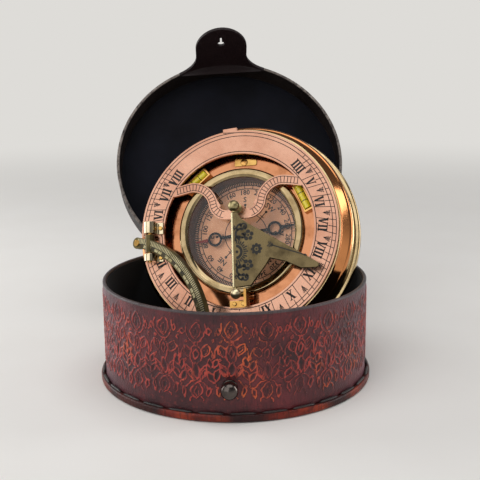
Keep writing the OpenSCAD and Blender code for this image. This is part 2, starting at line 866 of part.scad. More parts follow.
// Round-headed stop screw through the arc's heel
module arc_boss() {
  color("#a8925a")
    arc_placed()
      translate([arc_boss_x, arc_boss_y, -arc_t / 2]) {
        cylinder(r = 0.98, h = arc_t);
        translate([0, 0, arc_t]) cylinder(r = 1.9, h = 0.7);
      }
}

// Needle: a slim blade with a ring eye on each arm
module needle_blade(x0, x1, half0, half1) {
  linear_extrude(height = needle_t)
    polygon([[x0, half0], [x0, -half0], [x1, -half1], [x1, half1]]);
}

module compass_needle() {
  half = 0.75;
  ring_w = 1.3;
  color("#1c1a1e")
    instrument_placed()
      rotate([0, 0, needle_turn])
        translate([0, 0, needle_z])
          difference() {
            union() {
              cylinder(r = cap_r + 1.1, h = needle_t);
              for (s = [0, 180])
                rotate([0, 0, s]) {
                  needle_blade(0, eye_at, 1.5 * half, half);
                  translate([eye_at, 0, 0]) cylinder(r = eye_r, h = needle_t);
                  needle_blade(eye_at, needle_l, half, half / 2);
                }
            }
            translate([0, 0, -cut]) cylinder(r = cap_r, h = needle_t + 2 * cut);
            for (s = [-1, 1])
              translate([s * eye_at, 0, -cut]) cylinder(r = eye_r - ring_w, h = needle_t + 2 * cut);
          }
}

// Brass cap of the needle, hollow below where it rests on the point
module needle_cap() {
  color("#caa860")
    instrument_placed()
      translate([0, 0, needle_z])
        rotate_extrude()
          polygon([[1.1, -0.2], [cap_r, -0.2], [cap_r, needle_t + 0.4], [1.3, needle_t + 1.4], [0, needle_t + 1.6],
                   [0, 1.05], [0.6, 0.6]]);
}

// Levelling screw: knurled wheel, round tip and a stem in the bottom plate's boss
module levelling_screw(i) {
  teeth = 24;
  color("#b98d50")
    instrument_placed()
      rotate([0, 0, feet_deg[i]])
        translate([feet_at, 0, 0]) {
          difference() {
            translate([0, 0, stem_tip]) cylinder(d = wheel_d, h = wheel_t);
            for (a = [0:360 / teeth:359])
              rotate([0, 0, a])
                translate([wheel_d / 2 + 0.25, 0, -cut]) cylinder(r = 0.6, h = wheel_t + stem_tip + 2 * cut, $fn = 16);
          }
          rotate_extrude()
            polygon([[0, 0], [screw_r - 0.4, 0], [screw_r + 0.8, stem_tip], [screw_r, stem_tip + wheel_t],
                     [screw_r, plate_z + boss_h - 0.4], [screw_r - 0.8, plate_z + boss_h + 0.4],
                     [0, plate_z + boss_h + 0.4]]);
        }
}

module levelling_screw_1() {
  levelling_screw(0);
}

module levelling_screw_2() {
  levelling_screw(1);
}

module levelling_screw_3() {
  levelling_screw(2);
}

case_wall();
case_bottom();
wall_lining();
floor_pad();
closure_stud();
stud_backing();
hinge_strap_tray();
hinge_strap_lid();
lid_skirt();
lid_top();
lid_lining();
base_body();
bottom_plate();
bottom_screws();
deck_plate();
compass_bowl();
dial_card();
pivot_post();
compass_glass();
bezel();
level_mount_left();
level_mount_right();
level_vial_left();
level_vial_right();
hinge_ears();
ring_hinge_pin();
hour_ring();
ring_knuckles();
gnomon_post();
gnomon_bracket();
bracket_screws();
arc_bracket();
arc_pin();
gnomon_plate();
gnomon_pivots();
latitude_arc();
arc_boss();
compass_needle();
needle_cap();
levelling_screw_1();
levelling_screw_2();
levelling_screw_3();
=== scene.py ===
import json
import math

import bmesh
import bpy
import numpy as np
from mathutils import Matrix, Vector
from mathutils.geometry import delaunay_2d_cdt


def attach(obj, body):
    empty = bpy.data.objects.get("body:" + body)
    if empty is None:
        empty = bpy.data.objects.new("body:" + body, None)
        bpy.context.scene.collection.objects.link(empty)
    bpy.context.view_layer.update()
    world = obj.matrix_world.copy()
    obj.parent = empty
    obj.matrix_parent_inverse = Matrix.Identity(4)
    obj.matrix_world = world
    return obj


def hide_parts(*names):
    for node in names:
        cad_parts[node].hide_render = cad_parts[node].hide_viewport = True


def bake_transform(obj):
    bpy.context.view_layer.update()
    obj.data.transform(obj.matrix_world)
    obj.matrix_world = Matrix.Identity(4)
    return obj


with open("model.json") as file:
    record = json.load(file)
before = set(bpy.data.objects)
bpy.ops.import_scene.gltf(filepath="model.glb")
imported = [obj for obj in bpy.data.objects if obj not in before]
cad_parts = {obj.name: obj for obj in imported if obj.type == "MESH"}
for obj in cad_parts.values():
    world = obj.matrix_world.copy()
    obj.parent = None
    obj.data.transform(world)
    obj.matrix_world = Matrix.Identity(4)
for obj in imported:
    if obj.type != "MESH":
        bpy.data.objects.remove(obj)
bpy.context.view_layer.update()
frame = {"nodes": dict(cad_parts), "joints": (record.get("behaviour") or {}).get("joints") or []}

nodes = frame["nodes"]
joints = {j["name"]: j for j in frame["joints"]}

# ---------------------------------------------------------------- studio
# A plain pale table top, a wide soft lamp in front of and above the dial, and two upright strip lamps that
# graze the leather and draw long highlights on the turned brass, as in a product studio.

MM = 0.001
scene = bpy.context.scene
scene.view_settings.view_transform = "Standard"


def linear(hex_colour):
    """sRGB hex to linear RGBA."""
    parts = [int(hex_colour[i : i + 2], 16) / 255 for i in (1, 3, 5)]
    return (*[c / 12.92 if c <= 0.04045 else ((c + 0.055) / 1.055) ** 2.4 for c in parts], 1)


def feed(tree, node, inputs):
    """Fills a node's inputs: values and hex colours are set, outputs are linked, and a node gives its first output."""
    for key, given in dict(inputs).items():
        if isinstance(given, bpy.types.Node):
            given = next(o for o in given.outputs if o.enabled)
        if isinstance(given, bpy.types.NodeSocket):
            tree.links.new(given, node.inputs[key])
        else:
            node.inputs[key].default_value = linear(given) if isinstance(given, str) else given


def add(tree, kind, inputs=(), **settings):
    """Adds a node with its settings and inputs; a kind without a prefix is a shader node."""
    new = tree.nodes.new(kind if "Node" in kind else "ShaderNode" + kind)
    for key, value in settings.items():
        setattr(new, key, value)
    feed(tree, new, inputs)
    return new


def blank(name):
    """A new material, its node tree, its Principled shader and the object's own coordinates."""
    made = bpy.data.materials.new(name)
    made.use_nodes = True
    tree = made.node_tree
    return made, tree, tree.nodes["Principled BSDF"], add(tree, "TexCoord").outputs["Object"]


def shift(*way):
    return Matrix.Translation(way)


def spin(degrees, axis="Z"):
    return Matrix.Rotation(math.radians(degrees), 4, axis)


def linked(name, data):
    """A new object in the scene."""
    made = bpy.data.objects.new(name, data)
    scene.collection.objects.link(made)
    return made


# the camera's place and lens come from fitting the case's, ring's and lid's circles to the photograph
camera = linked("camera", bpy.data.cameras.new("camera"))
scene.camera = camera
camera.data.lens, camera.data.sensor_width, camera.data.clip_start = 71.45, 36, 0.01
camera_at = Vector((20.42, -504.76, 189.40)) * MM
camera_roll = -0.011
ahead = Vector((-0.03316, 0.97435, -0.22260)).normalized()
level = ahead.cross(Vector((0, 0, 1))).normalized()
right = math.cos(camera_roll) * level + math.sin(camera_roll) * level.cross(ahead)
turn = Matrix((right, right.cross(ahead), -ahead)).transposed().to_4x4()
camera.matrix_world = shift(*camera_at) @ turn

table_half, table_z = 6, -0.0003
top = bpy.data.meshes.new("table_top")
corners = [(x * table_half, y * table_half, table_z) for x, y in ((-1, -1), (1, -1), (1, 1), (-1, 1))]
top.from_pydata(corners, [], [(0, 1, 2, 3)])
table = linked("table_top", top)
# Seamless paper: a matte, even, pale warm grey. Far from the object the camera, metal and glass see it melt into the
# backdrop; near the object it keeps its shade and shadow.
backdrop = "#dedcd8"
paper, tree, shader, where = blank("seamless_paper")
fibres = add(tree, "TexNoise", {"Scale": 18, "Detail": 3, "Vector": where})
pulp = add(tree, "Mix", {0: fibres, 6: "#ece9e4", 7: "#f1efeb"}, data_type="RGBA")
feed(tree, shader, {"Base Color": pulp, "Roughness": 0.9, "Specular IOR Level": 0.2})
away = add(tree, "VectorMath", {0: where}, operation="LENGTH")
fade = add(tree, "MapRange", {0: away, 1: 0.25, 2: 1.1}, interpolation_type="SMOOTHSTEP")
ray = add(tree, "LightPath").outputs
seen = ray["Is Camera Ray"]
for kind in ("Is Glossy Ray", "Is Transmission Ray"):
    seen = add(tree, "Math", {0: seen, 1: ray[kind]}, operation="MAXIMUM")
fade = add(tree, "Math", {0: fade, 1: seen}, operation="MULTIPLY")
melt = add(tree, "MixShader", {0: fade, 1: shader, 2: add(tree, "Emission", {"Color": backdrop})})
feed(tree, tree.nodes["Material Output"], {"Surface": melt})
table.data.materials.append(paper)

# The room: pale at the horizon like the paper, darker overhead, so that polished metal has something dark to reflect
world = bpy.data.worlds.new("room")
scene.world = world
world.use_nodes = True
room = world.node_tree
room.nodes.clear()
height = add(room, "SeparateXYZ", {0: add(room, "TexCoord").outputs["Generated"]})
ramp = add(room, "ValToRGB", {0: height.outputs["Z"]})
stops = ramp.color_ramp.elements
stops[0].position, stops[0].color = 0.05, linear(backdrop)
stops[1].position, stops[1].color = 0.8, linear("#59595d")
stops.new(0.3).color = linear("#8b8a89")
add(room, "OutputWorld", {"Surface": add(room, "Background", {"Strength": 1.0, "Color": ramp})})


def lamp(name, at, aim, size, radiance):
    """A flat rectangular lamp of that width and height that shines towards aim; radiance is per square metre."""
    light = bpy.data.lights.new(name, "AREA")
    light.shape = "RECTANGLE"
    light.size, light.size_y = size
    light.energy = radiance * math.pi * size[0] * size[1]
    turn = (Vector(at) - Vector(aim)).to_track_quat("Z", "Y").to_matrix().to_4x4()
    linked(name, light).matrix_world = shift(*at) @ turn


lamp("key_lamp", (-0.66, -0.78, 0.68), (0.002, 0.006, 0.079), (1.4, 1.1), 1.25)
lamp("left_strip", (-0.70, 0.26, 0.27), (0, 0, 0.06), (0.46, 0.55), 3.0)
lamp("right_strip", (0.74, 0.10, 0.26), (0, 0, 0.06), (0.20, 0.60), 4.0)
lamp("top_fill", (0.05, -0.10, 1.1), (0, 0, 0.05), (1.2, 0.9), 1.7)

# ---------------------------------------------------------------- tray wall
# One strip of vegetable-tanned cow hide, bent round and glued at the back. It is dyed dark oxblood, stamped
# all round with rows of leaf sprays, and the raised outlines are rubbed back to orange red.

case_height = 54.8
welt_thick = 3.8
wall_outer = 71.7
wall_inner = 69.8
spray_count = 26
stamp_depth = 0.42
stud_height = 17.5
columns, outside_rows = 840, 98


def baked(holder):
    """An object's mesh with its modifiers applied; the object goes."""
    mesh = bpy.data.meshes.new_from_object(holder.evaluated_get(bpy.context.evaluated_depsgraph_get()))
    bpy.data.objects.remove(holder)
    return mesh


def modified(mesh, kind, **settings):
    """A copy of a mesh with one modifier applied."""
    holder = linked("blank", mesh)
    change = holder.modifiers.new("change", kind)
    for key, value in settings.items():
        setattr(change, key, value)
    return baked(holder)


def softened(mesh, width, angle=38):
    """A copy of a mesh with its hard edges rounded by width mm."""
    edge = math.radians(angle)
    return modified(mesh, "BEVEL", width=width * MM, segments=2, limit_method="ANGLE", angle_limit=edge)


def finished(mesh, name, material, body, slot_name, cad_nodes=(), sharp=35, flip=True, soft=0.0):
    """Smooths a mesh, rounds its edges by soft mm, and makes it a piece that rides on a body, if one is given."""
    if soft:
        mesh = softened(mesh, soft)
    if flip:
        shell = bmesh.new()
        shell.from_mesh(mesh)
        bmesh.ops.recalc_face_normals(shell, faces=shell.faces)
        shell.to_mesh(mesh)
        shell.free()
    mesh.shade_smooth()
    mesh.set_sharp_from_angle(angle=math.radians(sharp))
    # many-sided faces are flats; the rest is smoothed by area, so that narrow roundings don't bend their neighbours
    for face in mesh.polygons:
        face.use_smooth = len(face.vertices) < 5
    mesh = modified(mesh, "WEIGHTED_NORMAL", weight=90, keep_sharp=True)
    mesh.name = name
    mesh.materials.clear()
    mesh.materials.append(material)
    made = linked(name, mesh)
    if body:
        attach(made, body)
    if cad_nodes:
        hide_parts(*cad_nodes)
    return made


def piece(name, points, faces, material, body, slot_name, cad_nodes=(), rub=None, **finish):
    """A finished mesh piece with its points in millimetres; rub is how far its leather is worn, in all or by point."""
    mesh = bpy.data.meshes.new(name)
    mesh.from_pydata((np.asarray(points, float) * MM).tolist(), [], faces)
    mesh.validate()
    if rub is not None:
        wear = np.zeros(len(points), np.float32) + np.ravel(rub).astype(np.float32)
        mesh.attributes.new("rub", "FLOAT", "POINT").data.foreach_set("value", wear)
    return finished(mesh, name, material, body, slot_name, cad_nodes, **finish)


def bend(cx, cy, r, start, end, steps=16):
    """Points along an arc, in degrees."""
    return [(cx + r * math.cos(a), cy + r * math.sin(a)) for a in map(math.radians, np.linspace(start, end, steps))]


def ring_faces(columns, rows, closed_section=True):
    """Quads of a surface of rows x columns points that closes round its columns, and round its rows if asked."""
    spans = [(k, (k + 1) % rows) for k in range(rows if closed_section else rows - 1)]
    pairs = [(i * rows, (i + 1) % columns * rows) for i in range(columns)]
    return [(i + k, j + k, j + m, i + m) for i, j in pairs for k, m in spans]


def wobble(x, y, seed):
    """Smooth repeatable unevenness between -1 and 1, from a few sine waves."""
    rng = np.random.default_rng(seed)
    total = np.zeros(np.broadcast(x, y).shape)
    for _ in range(6):
        kx, ky, phase = rng.uniform(-1, 1), rng.uniform(-1, 1), rng.uniform(0, 6.3)
        total = total + np.sin(kx * x + ky * y + phase)
    return total / 3


def leaf(x, y, cx, cy, half_w, half_h, tilt, width):
    """Outline and hollow of a pointed leaf: (raised line, sunk inside)."""
    a = math.radians(tilt)
    u = (x - cx) * math.cos(a) + (y - cy) * math.sin(a)
    v = -(x - cx) * math.sin(a) + (y - cy) * math.cos(a)
    edge = np.abs(u) / half_w + (np.abs(v) / half_h) ** 1.8
    distance = (edge - 1) * half_w * 0.8
    return np.exp(-((distance / width) ** 2)), np.clip(1 - edge, 0, 1)


def vine(x, y, points, width=0.33):
    """A raised line along a polyline of points."""
    nearest = np.full(x.shape, 9.0)
    for (ax, ay), (bx, by) in zip(points, points[1:]):
        dx, dy = bx - ax, by - ay
        t = np.clip(((x - ax) * dx + (y - ay) * dy) / (dx * dx + dy * dy), 0, 1)
        nearest = np.minimum(nearest, np.hypot(x - ax - t * dx, y - ay - t * dy))
    return np.exp(-((nearest / width) ** 2))


# one spray, from the column's middle line and down its height: leaves (x, y, half width, half height, tilt), veins and
# buds between them, and the stems of one side
big_leaves = [
    (0, 11.6, 3.0, 5.6, 2), (-6.6, 12.5, 0.8, 2.0, 0), (6.6, 12.0, 0.8, 2.2, 0), (0, 19.6, 0.9, 1.3, 0),
    (-4.4, 24.2, 2.0, 3.5, -16), (4.6, 23.6, 2.1, 3.7, 18), (0, 25.4, 1.1, 2.9, 0), (-7.2, 31.8, 1.3, 2.7, 14),
    (7.2, 30.8, 1.3, 2.9, -14), (0.2, 34.4, 1.7, 4.3, 0), (-3.4, 35.4, 1.4, 3.9, -24), (3.6, 35.2, 1.4, 4.0, 24),
    (-6.9, 37.6, 1.4, 2.9, 30), (7.1, 37.4, 1.4, 3.0, -30), (0, 44.6, 2.9, 4.5, 6), (-6.2, 45.8, 0.9, 2.7, -8),
    (6.2, 45.4, 1.0, 2.9, 8),
]
small_leaves = [
    (0, 12.4, 1.2, 3.4, 4), (0, 45.2, 1.2, 2.7, 3), (-4.4, 24.4, 0.8, 1.9, -16), (4.6, 23.8, 0.8, 2.0, 18),
    (-3.4, 35.6, 0.6, 2.2, -24), (3.6, 35.4, 0.6, 2.2, 24), (-8.3, 14.5, 0.5, 1.3, 0), (8.3, 17.6, 0.5, 1.3, 10),
    (-5.0, 18.6, 0.5, 1.2, 30), (-8.4, 41.6, 0.5, 1.2, 0), (-8.2, 27.6, 0.5, 1.2, 0), (-5.2, 29.4, 0.5, 1.0, 20),
]
stems = [
    [(0, 19.4), (2.6, 18.0), (4.6, 14.8), (5.2, 10.6), (4.8, 7.6)],
    [(0.8, 20.6), (2.2, 22.4), (2.6, 25.6), (2.2, 29.0), (0.8, 31.0)],
    [(6.4, 21.2), (8.0, 24.8), (8.2, 28.8)],
    [(1.0, 39.4), (3.6, 40.4), (5.6, 43.0), (7.8, 43.2)],
    [(2.2, 48.0), (3.2, 49.2), (3.4, 50.2)],
]


def leaf_sprays(around, down, pitch):
    """Height (-1 to 1) and rub (below 0 in the hollows) of the stamped sprays; mm from the front and the rim."""
    rows = np.interp(down, (0, 8.8, 19.4, 29.0, 39.1, 55.0), (1.5, 11.6, 24.5, 34.6, 44.6, 60.5))
    # a column of sprays stands over the stud
    x = around + pitch / 2 - 1.0
    x = x + 0.5 * wobble(around * 0.55, down * 0.55, 3) + 0.22 * wobble(around * 2.4, down * 2.4, 5)
    y = rows + 0.5 * wobble(around * 0.5, down * 0.5, 4) + 0.22 * wobble(around * 2.2, down * 2.2, 6)
    column = np.floor(x / pitch)
    x = x - (column + 0.5) * pitch
    # every other column is stamped a little lower
    y = y - 1.1 * (np.mod(column, 2) - 0.5)
    lines, hollow = np.zeros(x.shape), np.zeros(x.shape)
    for shape in big_leaves:
        line, inside = leaf(x, y, *shape, 0.36)
        lines, hollow = np.maximum(lines, line), np.maximum(hollow, inside)
    for shape in small_leaves:
        lines = np.maximum(lines, 0.8 * leaf(x, y, *shape, 0.3)[0])
    for side in (-1, 1):
        for path in stems:
            lines = np.maximum(lines, vine(x, y, [(side * px, py) for px, py in path]))
    # each stamp was struck harder or softer, and hands have rubbed some places more
    struck = 0.6 + 0.4 * np.sin(column * 2.3 + np.floor(down / 14) * 1.7)
    patchy = np.clip(0.9 + 0.25 * wobble(around * 0.16, down * 0.16, 9), 0.68, 1) * (0.8 + 0.2 * struck)
    fade = np.clip((down - 2.2) / 3, 0, 1)
    return (lines - 0.45 * hollow) * fade, lines * patchy * fade - 0.6 * hollow * (1 - lines) * fade


def leather(
    name, dark, worn, rough, worn_too="#9c3430", pale="#5e2026", grain_mm=0.9, specular=0.3, sheen=0.0, flecked=0.0
):
    """Waxed hide with pores, upright streaks and an uneven dye; the attribute rub brings out the worn colour."""
    made, tree, shader, where = blank(name)
    upright = add(tree, "Mapping", {"Scale": (1, 1, 0.16), "Vector": where})

    def clouds(scale, low, high, vector=where, detail=4, to=1.0):
        """An amount from 0 to to, where a cloudy pattern goes from low to high."""
        fog = add(tree, "TexNoise", {"Scale": scale, "Detail": detail, "Roughness": 0.6, "Vector": vector})
        return add(tree, "MapRange", {0: fog, 1: low, 2: high, 3: 0.0, 4: to})

    dye, hue = dark, worn_too
    for amount, colour in (
        (clouds(38, 0.40, 0.68), pale), (clouds(950, 0.50, 0.72, upright, to=0.55), "#170a10"),
        (clouds(420, 0.56, 0.70, detail=3, to=flecked), worn_too),
    ):
        dye = add(tree, "Mix", {0: amount, 6: dye, 7: colour}, data_type="RGBA")
    for amount, colour in ((clouds(46, 0.49, 0.66, detail=3), worn), (clouds(620, 0.52, 0.66, upright, 2, 0.7), dark)):
        hue = add(tree, "Mix", {0: amount, 6: hue, 7: colour}, data_type="RGBA")
    # dark wax stays in the hollows and along the foot of each line; the crests are rubbed clean
    rub = add(tree, "Attribute", attribute_name="rub").outputs["Fac"]
    sunk = add(tree, "MapRange", {0: rub, 1: -0.5, 2: 0.0, 3: 0.75, 4: 0.0})
    foot = add(tree, "MapRange", {0: rub, 1: 0.03, 2: 0.16, 3: 0.0, 4: 0.6})
    waxed = add(tree, "Math", {0: sunk, 1: foot}, operation="MAXIMUM")
    crest = add(tree, "MapRange", {0: rub, 1: 0.22, 2: 0.62}, interpolation_type="SMOOTHSTEP")
    broken = add(tree, "MapRange", {0: clouds(210, 0.34, 0.52, detail=3), 3: 0.35, 4: 1.0})
    rubbed = add(tree, "Math", {0: crest, 1: broken}, operation="MULTIPLY")
    for amount, colour in ((waxed, "#1c0a0f"), (rubbed, hue)):
        dye = add(tree, "Mix", {0: amount, 6: dye, 7: colour}, data_type="RGBA")
    shine = add(tree, "MapRange", {0: clouds(300, 0.3, 0.7), 3: rough, 4: rough + 0.16})
    pores = add(tree, "TexVoronoi", {"Scale": 1000 / grain_mm, "Vector": where})
    grain = add(tree, "Math", {0: pores, 1: clouds(900, 0.0, 1.0, upright, 5)}, operation="ADD")
    feed(tree, shader, {
        "Base Color": dye, "Roughness": shine, "Specular IOR Level": specular, "Sheen Weight": sheen,
        "Sheen Roughness": 0.35, "Sheen Tint": "#dcaec2",
        "Normal": add(tree, "Bump", {"Strength": 0.5, "Distance": 0.0003, "Height": grain}),
    })
    return made


# Dyed and waxed leather: dark oxblood with fine pores, duller where it is worn, orange red on the rubbed lines
oxblood = leather(
    "waxed_oxblood_hide", "#3a141a", "#d8622f", 0.34, "#b03e34", "#68242a", specular=0.45, sheen=0.42, flecked=0.2
)
# the wall's section: outside from the bottom up, over the rounded rim, and down the inside
round_r = (wall_outer - wall_inner) / 2
round_z = case_height - round_r
section = [(wall_outer, z) for z in np.linspace(welt_thick, round_z, outside_rows)]
section += bend(wall_outer - round_r, round_z, round_r, 0, 180, 9)[1:-1]
section = np.array(section + [(wall_inner, z) for z in np.linspace(round_z, welt_thick, 4)])
angle = np.linspace(0, 2 * math.pi, columns, endpoint=False)[:, None] - math.pi / 2
upright = np.repeat(section[None, :, 1], columns, 0)
half_way_round = math.pi * wall_outer
arc_length = np.repeat((angle + math.pi / 2) * wall_outer, len(section), 1)
arc_length[arc_length > half_way_round] -= 2 * half_way_round
height_map, rub_map = leaf_sprays(arc_length, case_height - upright, 2 * half_way_round / spray_count)
outside = (np.arange(len(section)) < outside_rows)[None, :] * np.clip((upright - welt_thick) / 1.5, 0, 1)
# bare ring pressed flat by the stud's collar
outside = outside * np.clip((np.hypot(arc_length, upright - stud_height) - 4.6) / 1.2, 0, 1)
radius = section[None, :, 0] + outside * stamp_depth * (height_map - 0.25)
points = np.stack([radius * np.cos(angle), radius * np.sin(angle), upright], -1).reshape(-1, 3)
piece(
    "tray_wall_leather", points, ring_faces(columns, len(section)), oxblood, "case", "dark_leather", ("case_wall",),
    rub=outside * rub_map,
)

# ---------------------------------------------------------------- bottom and welt
# A thick sole-leather disc that stands out past the wall as a welt. The wall sits in a groove near its edge and is
# held by long stitches of waxed black thread; the welt's edge is dyed red brown and burnished.

welt_outer = 74.3
stitch_circle = 72.75
stitch_count = 29


def rounded(corners, steps=5):
    """Corner points (x, y, radius) of an open outline, with the corners rounded."""
    out = []
    for i, corner in enumerate(corners):
        p, r = Vector(corner[:2]), corner[2] if len(corner) > 2 else 0
        if not r or i in (0, len(corners) - 1):
            out.append(tuple(p))
            continue
        before = (Vector(corners[i - 1][:2]) - p).normalized()
        after = (Vector(corners[i + 1][:2]) - p).normalized()
        reach = r / math.tan(before.angle(after) / 2)
        start, end = p + before * reach, p + after * reach
        for k in range(steps + 1):
            t = k / steps
            out.append(tuple((1 - t) ** 2 * start + 2 * t * (1 - t) * p + t * t * end))
    return out


def capped(corners, steps=5):
    """A rounded outline whose flat ends reach the axis."""
    return [(0, corners[0][1])] + rounded(corners, steps) + [(0, corners[-1][1])]


def turned(outline, steps=256, place=None):
    """Points and faces of a turned solid from its outline in (radius, height), closed at the axis or as a ring."""
    on_axis = outline[0][0] < 1e-6 and outline[-1][0] < 1e-6
    r, z = np.array(outline[1:-1] if on_axis else outline).T
    turns = np.linspace(0, 2 * math.pi, steps, endpoint=False)[:, None]
    points = np.stack([r * np.cos(turns), r * np.sin(turns), z + 0 * turns], -1).reshape(-1, 3)
    faces = ring_faces(steps, len(r), not on_axis)
    if on_axis:
        first, last = len(points), len(points) + 1
        points = np.vstack([points, [(0, 0, outline[0][1]), (0, 0, outline[-1][1])]])
        for i in range(0, first, len(r)):
            j = (i + len(r)) % first
            faces += [(i, j, first), (j + len(r) - 1, i + len(r) - 1, last)]
    return (points if place is None else np.array([place @ Vector(p) for p in points])), faces


def turned_piece(name, outline, steps, place, *rest, **more):
    """A turned solid as a finished piece."""
    return piece(name, *turned(outline, steps, place), *rest, **more)


# Burnished veg-tanned sole leather: red brown, smooth and a little shiny at its worn edge
welt_hide = leather("burnished_welt_hide", "#36120f", "#9c3a1c", 0.34, "#742418", "#581a12", 1.3)
outline = rounded(
    [(0, 0), (welt_outer, 0, 0.9), (welt_outer, welt_thick, 1.3), (wall_outer + 0.7, welt_thick - 0.1, 0.2),
     (wall_outer + 0.35, welt_thick - 0.9, 0.2), (wall_outer - 0.2, welt_thick - 0.9, 0.2),
     (wall_outer - 0.4, welt_thick), (0, welt_thick)]
)
points, faces = turned(outline, 360)
edge_wear = np.clip((np.hypot(points[:, 0], points[:, 1]) - welt_outer + 1.6) / 1.6, 0, 1)
turns = np.arctan2(points[:, 1], points[:, 0])
edge_wear = edge_wear * np.clip(0.35 + 0.8 * wobble(turns * 9, turns * 0, 21), 0, 1)
piece("bottom_and_welt", points, faces, welt_hide, "case", "welt_leather", ("case_bottom",), rub=edge_wear)


def ring_of(name, mark, radius, count, start, sweep, material, place=None, closed=True):
    """Repeats a mark mesh round a circle with Geometry Nodes and returns one plain mesh, in millimetres."""
    carrier, master = linked(name + "_marks", bpy.data.meshes.new(name)), linked(name + "_mark", mark)
    tree = bpy.data.node_groups.new(name + "_ring", "GeometryNodeTree")
    for way in ("INPUT", "OUTPUT"):
        tree.interface.new_socket("Geometry", in_out=way, socket_type="NodeSocketGeometry")
    values = {}
    spaces = count if closed else count - 1
    for label, kind, value in (
        ("Mark", "Object", master), ("Radius", "Float", float(radius)), ("Count", "Int", int(count)),
        ("Start", "Float", math.radians(start)), ("Step", "Float", math.radians(sweep) / spaces),
    ):
        socket = tree.interface.new_socket(label, in_out="INPUT", socket_type="NodeSocket" + kind)
        values[socket.identifier] = value
    given = add(tree, "NodeGroupInput").outputs
    number = add(tree, "GeometryNodeInputIndex")
    turn = add(tree, "Math", {0: number, 1: given["Step"], 2: given["Start"]}, operation="MULTIPLY_ADD")
    across, up = (add(tree, "Math", {0: turn}, operation=o) for o in ("COSINE", "SINE"))
    unit = add(tree, "CombineXYZ", {0: across, 1: up})
    spot = add(tree, "VectorMath", {0: unit, "Scale": given["Radius"]}, operation="SCALE")
    line = add(tree, "GeometryNodeMeshLine", {"Count": given["Count"]})
    placed = add(tree, "GeometryNodeSetPosition", {"Geometry": line, "Position": spot})
    shape = add(tree, "GeometryNodeObjectInfo", {"Object": given["Mark"]}).outputs["Geometry"]
    facing = add(tree, "CombineXYZ", {2: turn})
    copies = add(tree, "GeometryNodeInstanceOnPoints", {"Points": placed, "Instance": shape, "Rotation": facing})
    real = add(tree, "GeometryNodeRealizeInstances", {0: copies})
    add(tree, "NodeGroupOutput", {0: add(tree, "GeometryNodeSetMaterial", {"Geometry": real, "Material": material})})
    maker = carrier.modifiers.new("ring", "NODES")
    maker.node_group = tree
    for identifier, value in values.items():
        maker[identifier] = value
    made = baked(carrier)
    bpy.data.objects.remove(master)
    bpy.data.node_groups.remove(tree)
    made.transform(place or Matrix.Identity(4))
    return made


def small_mesh(name, points, faces):
    mesh = bpy.data.meshes.new(name)
    mesh.from_pydata([tuple(p) for p in points], [], faces)
    return mesh


def thread_stitch(long, wide, high):
    """One stitch along +Y: a flattened cord that dives into the leather at both ends."""
    rows, sides = 9, 8
    points = []
    for t in (i / (rows - 1) * 2 - 1 for i in range(rows)):
        swell = math.sqrt(max(0.0, 1 - abs(t) ** 5))
        for x, z in bend(0, 0, swell, 0, 360, sides + 1)[:-1]:
            points.append((wide / 2 * x, t * long / 2, high * (0.35 + 0.65 * z)))
    faces = []
    for i in range(0, (rows - 1) * sides, sides):
        faces += [(i + k, i + (k + 1) % sides, i + (k + 1) % sides + sides, i + k + sides) for k in range(sides)]
    faces += [tuple(range(sides - 1, -1, -1)), tuple(range((rows - 1) * sides, rows * sides))]
    return small_mesh("stitch", points, faces)


def sewn(name, stitch, radius, count, start, sweep, body, place, closed=True):
    """A row of stitches round a circle, as one piece."""
    row = ring_of(name, stitch, radius, count, start, sweep, waxed_thread, place, closed)
    row.transform(Matrix.Scale(MM, 4))
    finished(row, name, waxed_thread, body, "welt_leather", sharp=60)


# Waxed linen thread: nearly black, twisted, with a dull shine
waxed_thread = leather("waxed_linen_thread", "#1a1514", "#3a2f2c", 0.3, "#2c2422", "#332927", 0.5, 0.6)
stitch = thread_stitch(13.2, 1.6, 0.95)
sewn("welt_stitches", stitch, stitch_circle, stitch_count, -85, 360, "case", shift(0, 0, welt_thick - 0.05))

# Edge coat: the cut edge of the wall is painted grey brown and rubbed to a soft gloss
edge_coat = leather("edge_coat", "#3f3537", "#6d5f5f", 0.3, "#5c5051", "#5a4c4e", 0.6, 0.5)
rim_in, rim_out, rim_top = wall_inner - 0.04, wall_outer + 0.04, case_height + 0.03
rim = [(rim_in, case_height - 1.3), (rim_in, rim_top, 0.85), (rim_out, rim_top, 0.85), (rim_out, case_height - 1.1)]
turned_piece("rim_edge_coat", rounded(rim, 6), 360, None, edge_coat, "case", "dark_leather", rub=0)

# ---------------------------------------------------------------- suede lining and padded floor
# Black pigskin suede, glued to the wall and folded under the pad; the pad is thin felt covered with the same suede,
# pushed in snugly, so it is crowned a little and rolls down at its edge.

lining_inner = 69.2
pad_thick = 4.3
pad_hollow = 0.16  # how far the pad's top is trodden down on average


def suede(name, colour, nap):
    """Brushed suede: a soft nap, blotched where it has been stroked."""
    made, tree, shader, where = blank(name)
    strokes = add(tree, "TexNoise", {"Scale": 45, "Detail": 4, "Roughness": 0.55, "Vector": where})
    stroked = add(tree, "MapRange", {0: strokes, 1: 0.35, 2: 0.75})
    fuzz = add(tree, "TexNoise", {"Scale": 2500, "Detail": 2, "Vector": where})
    feed(tree, shader, {
        "Base Color": add(tree, "Mix", {0: stroked, 6: colour, 7: nap}, data_type="RGBA"), "Roughness": 0.95,
        "Specular IOR Level": 0.08, "Sheen Weight": 0.08, "Sheen Roughness": 0.6,
        "Normal": add(tree, "Bump", {"Strength": 0.4, "Distance": 0.0002, "Height": fuzz}),
    })
    return made


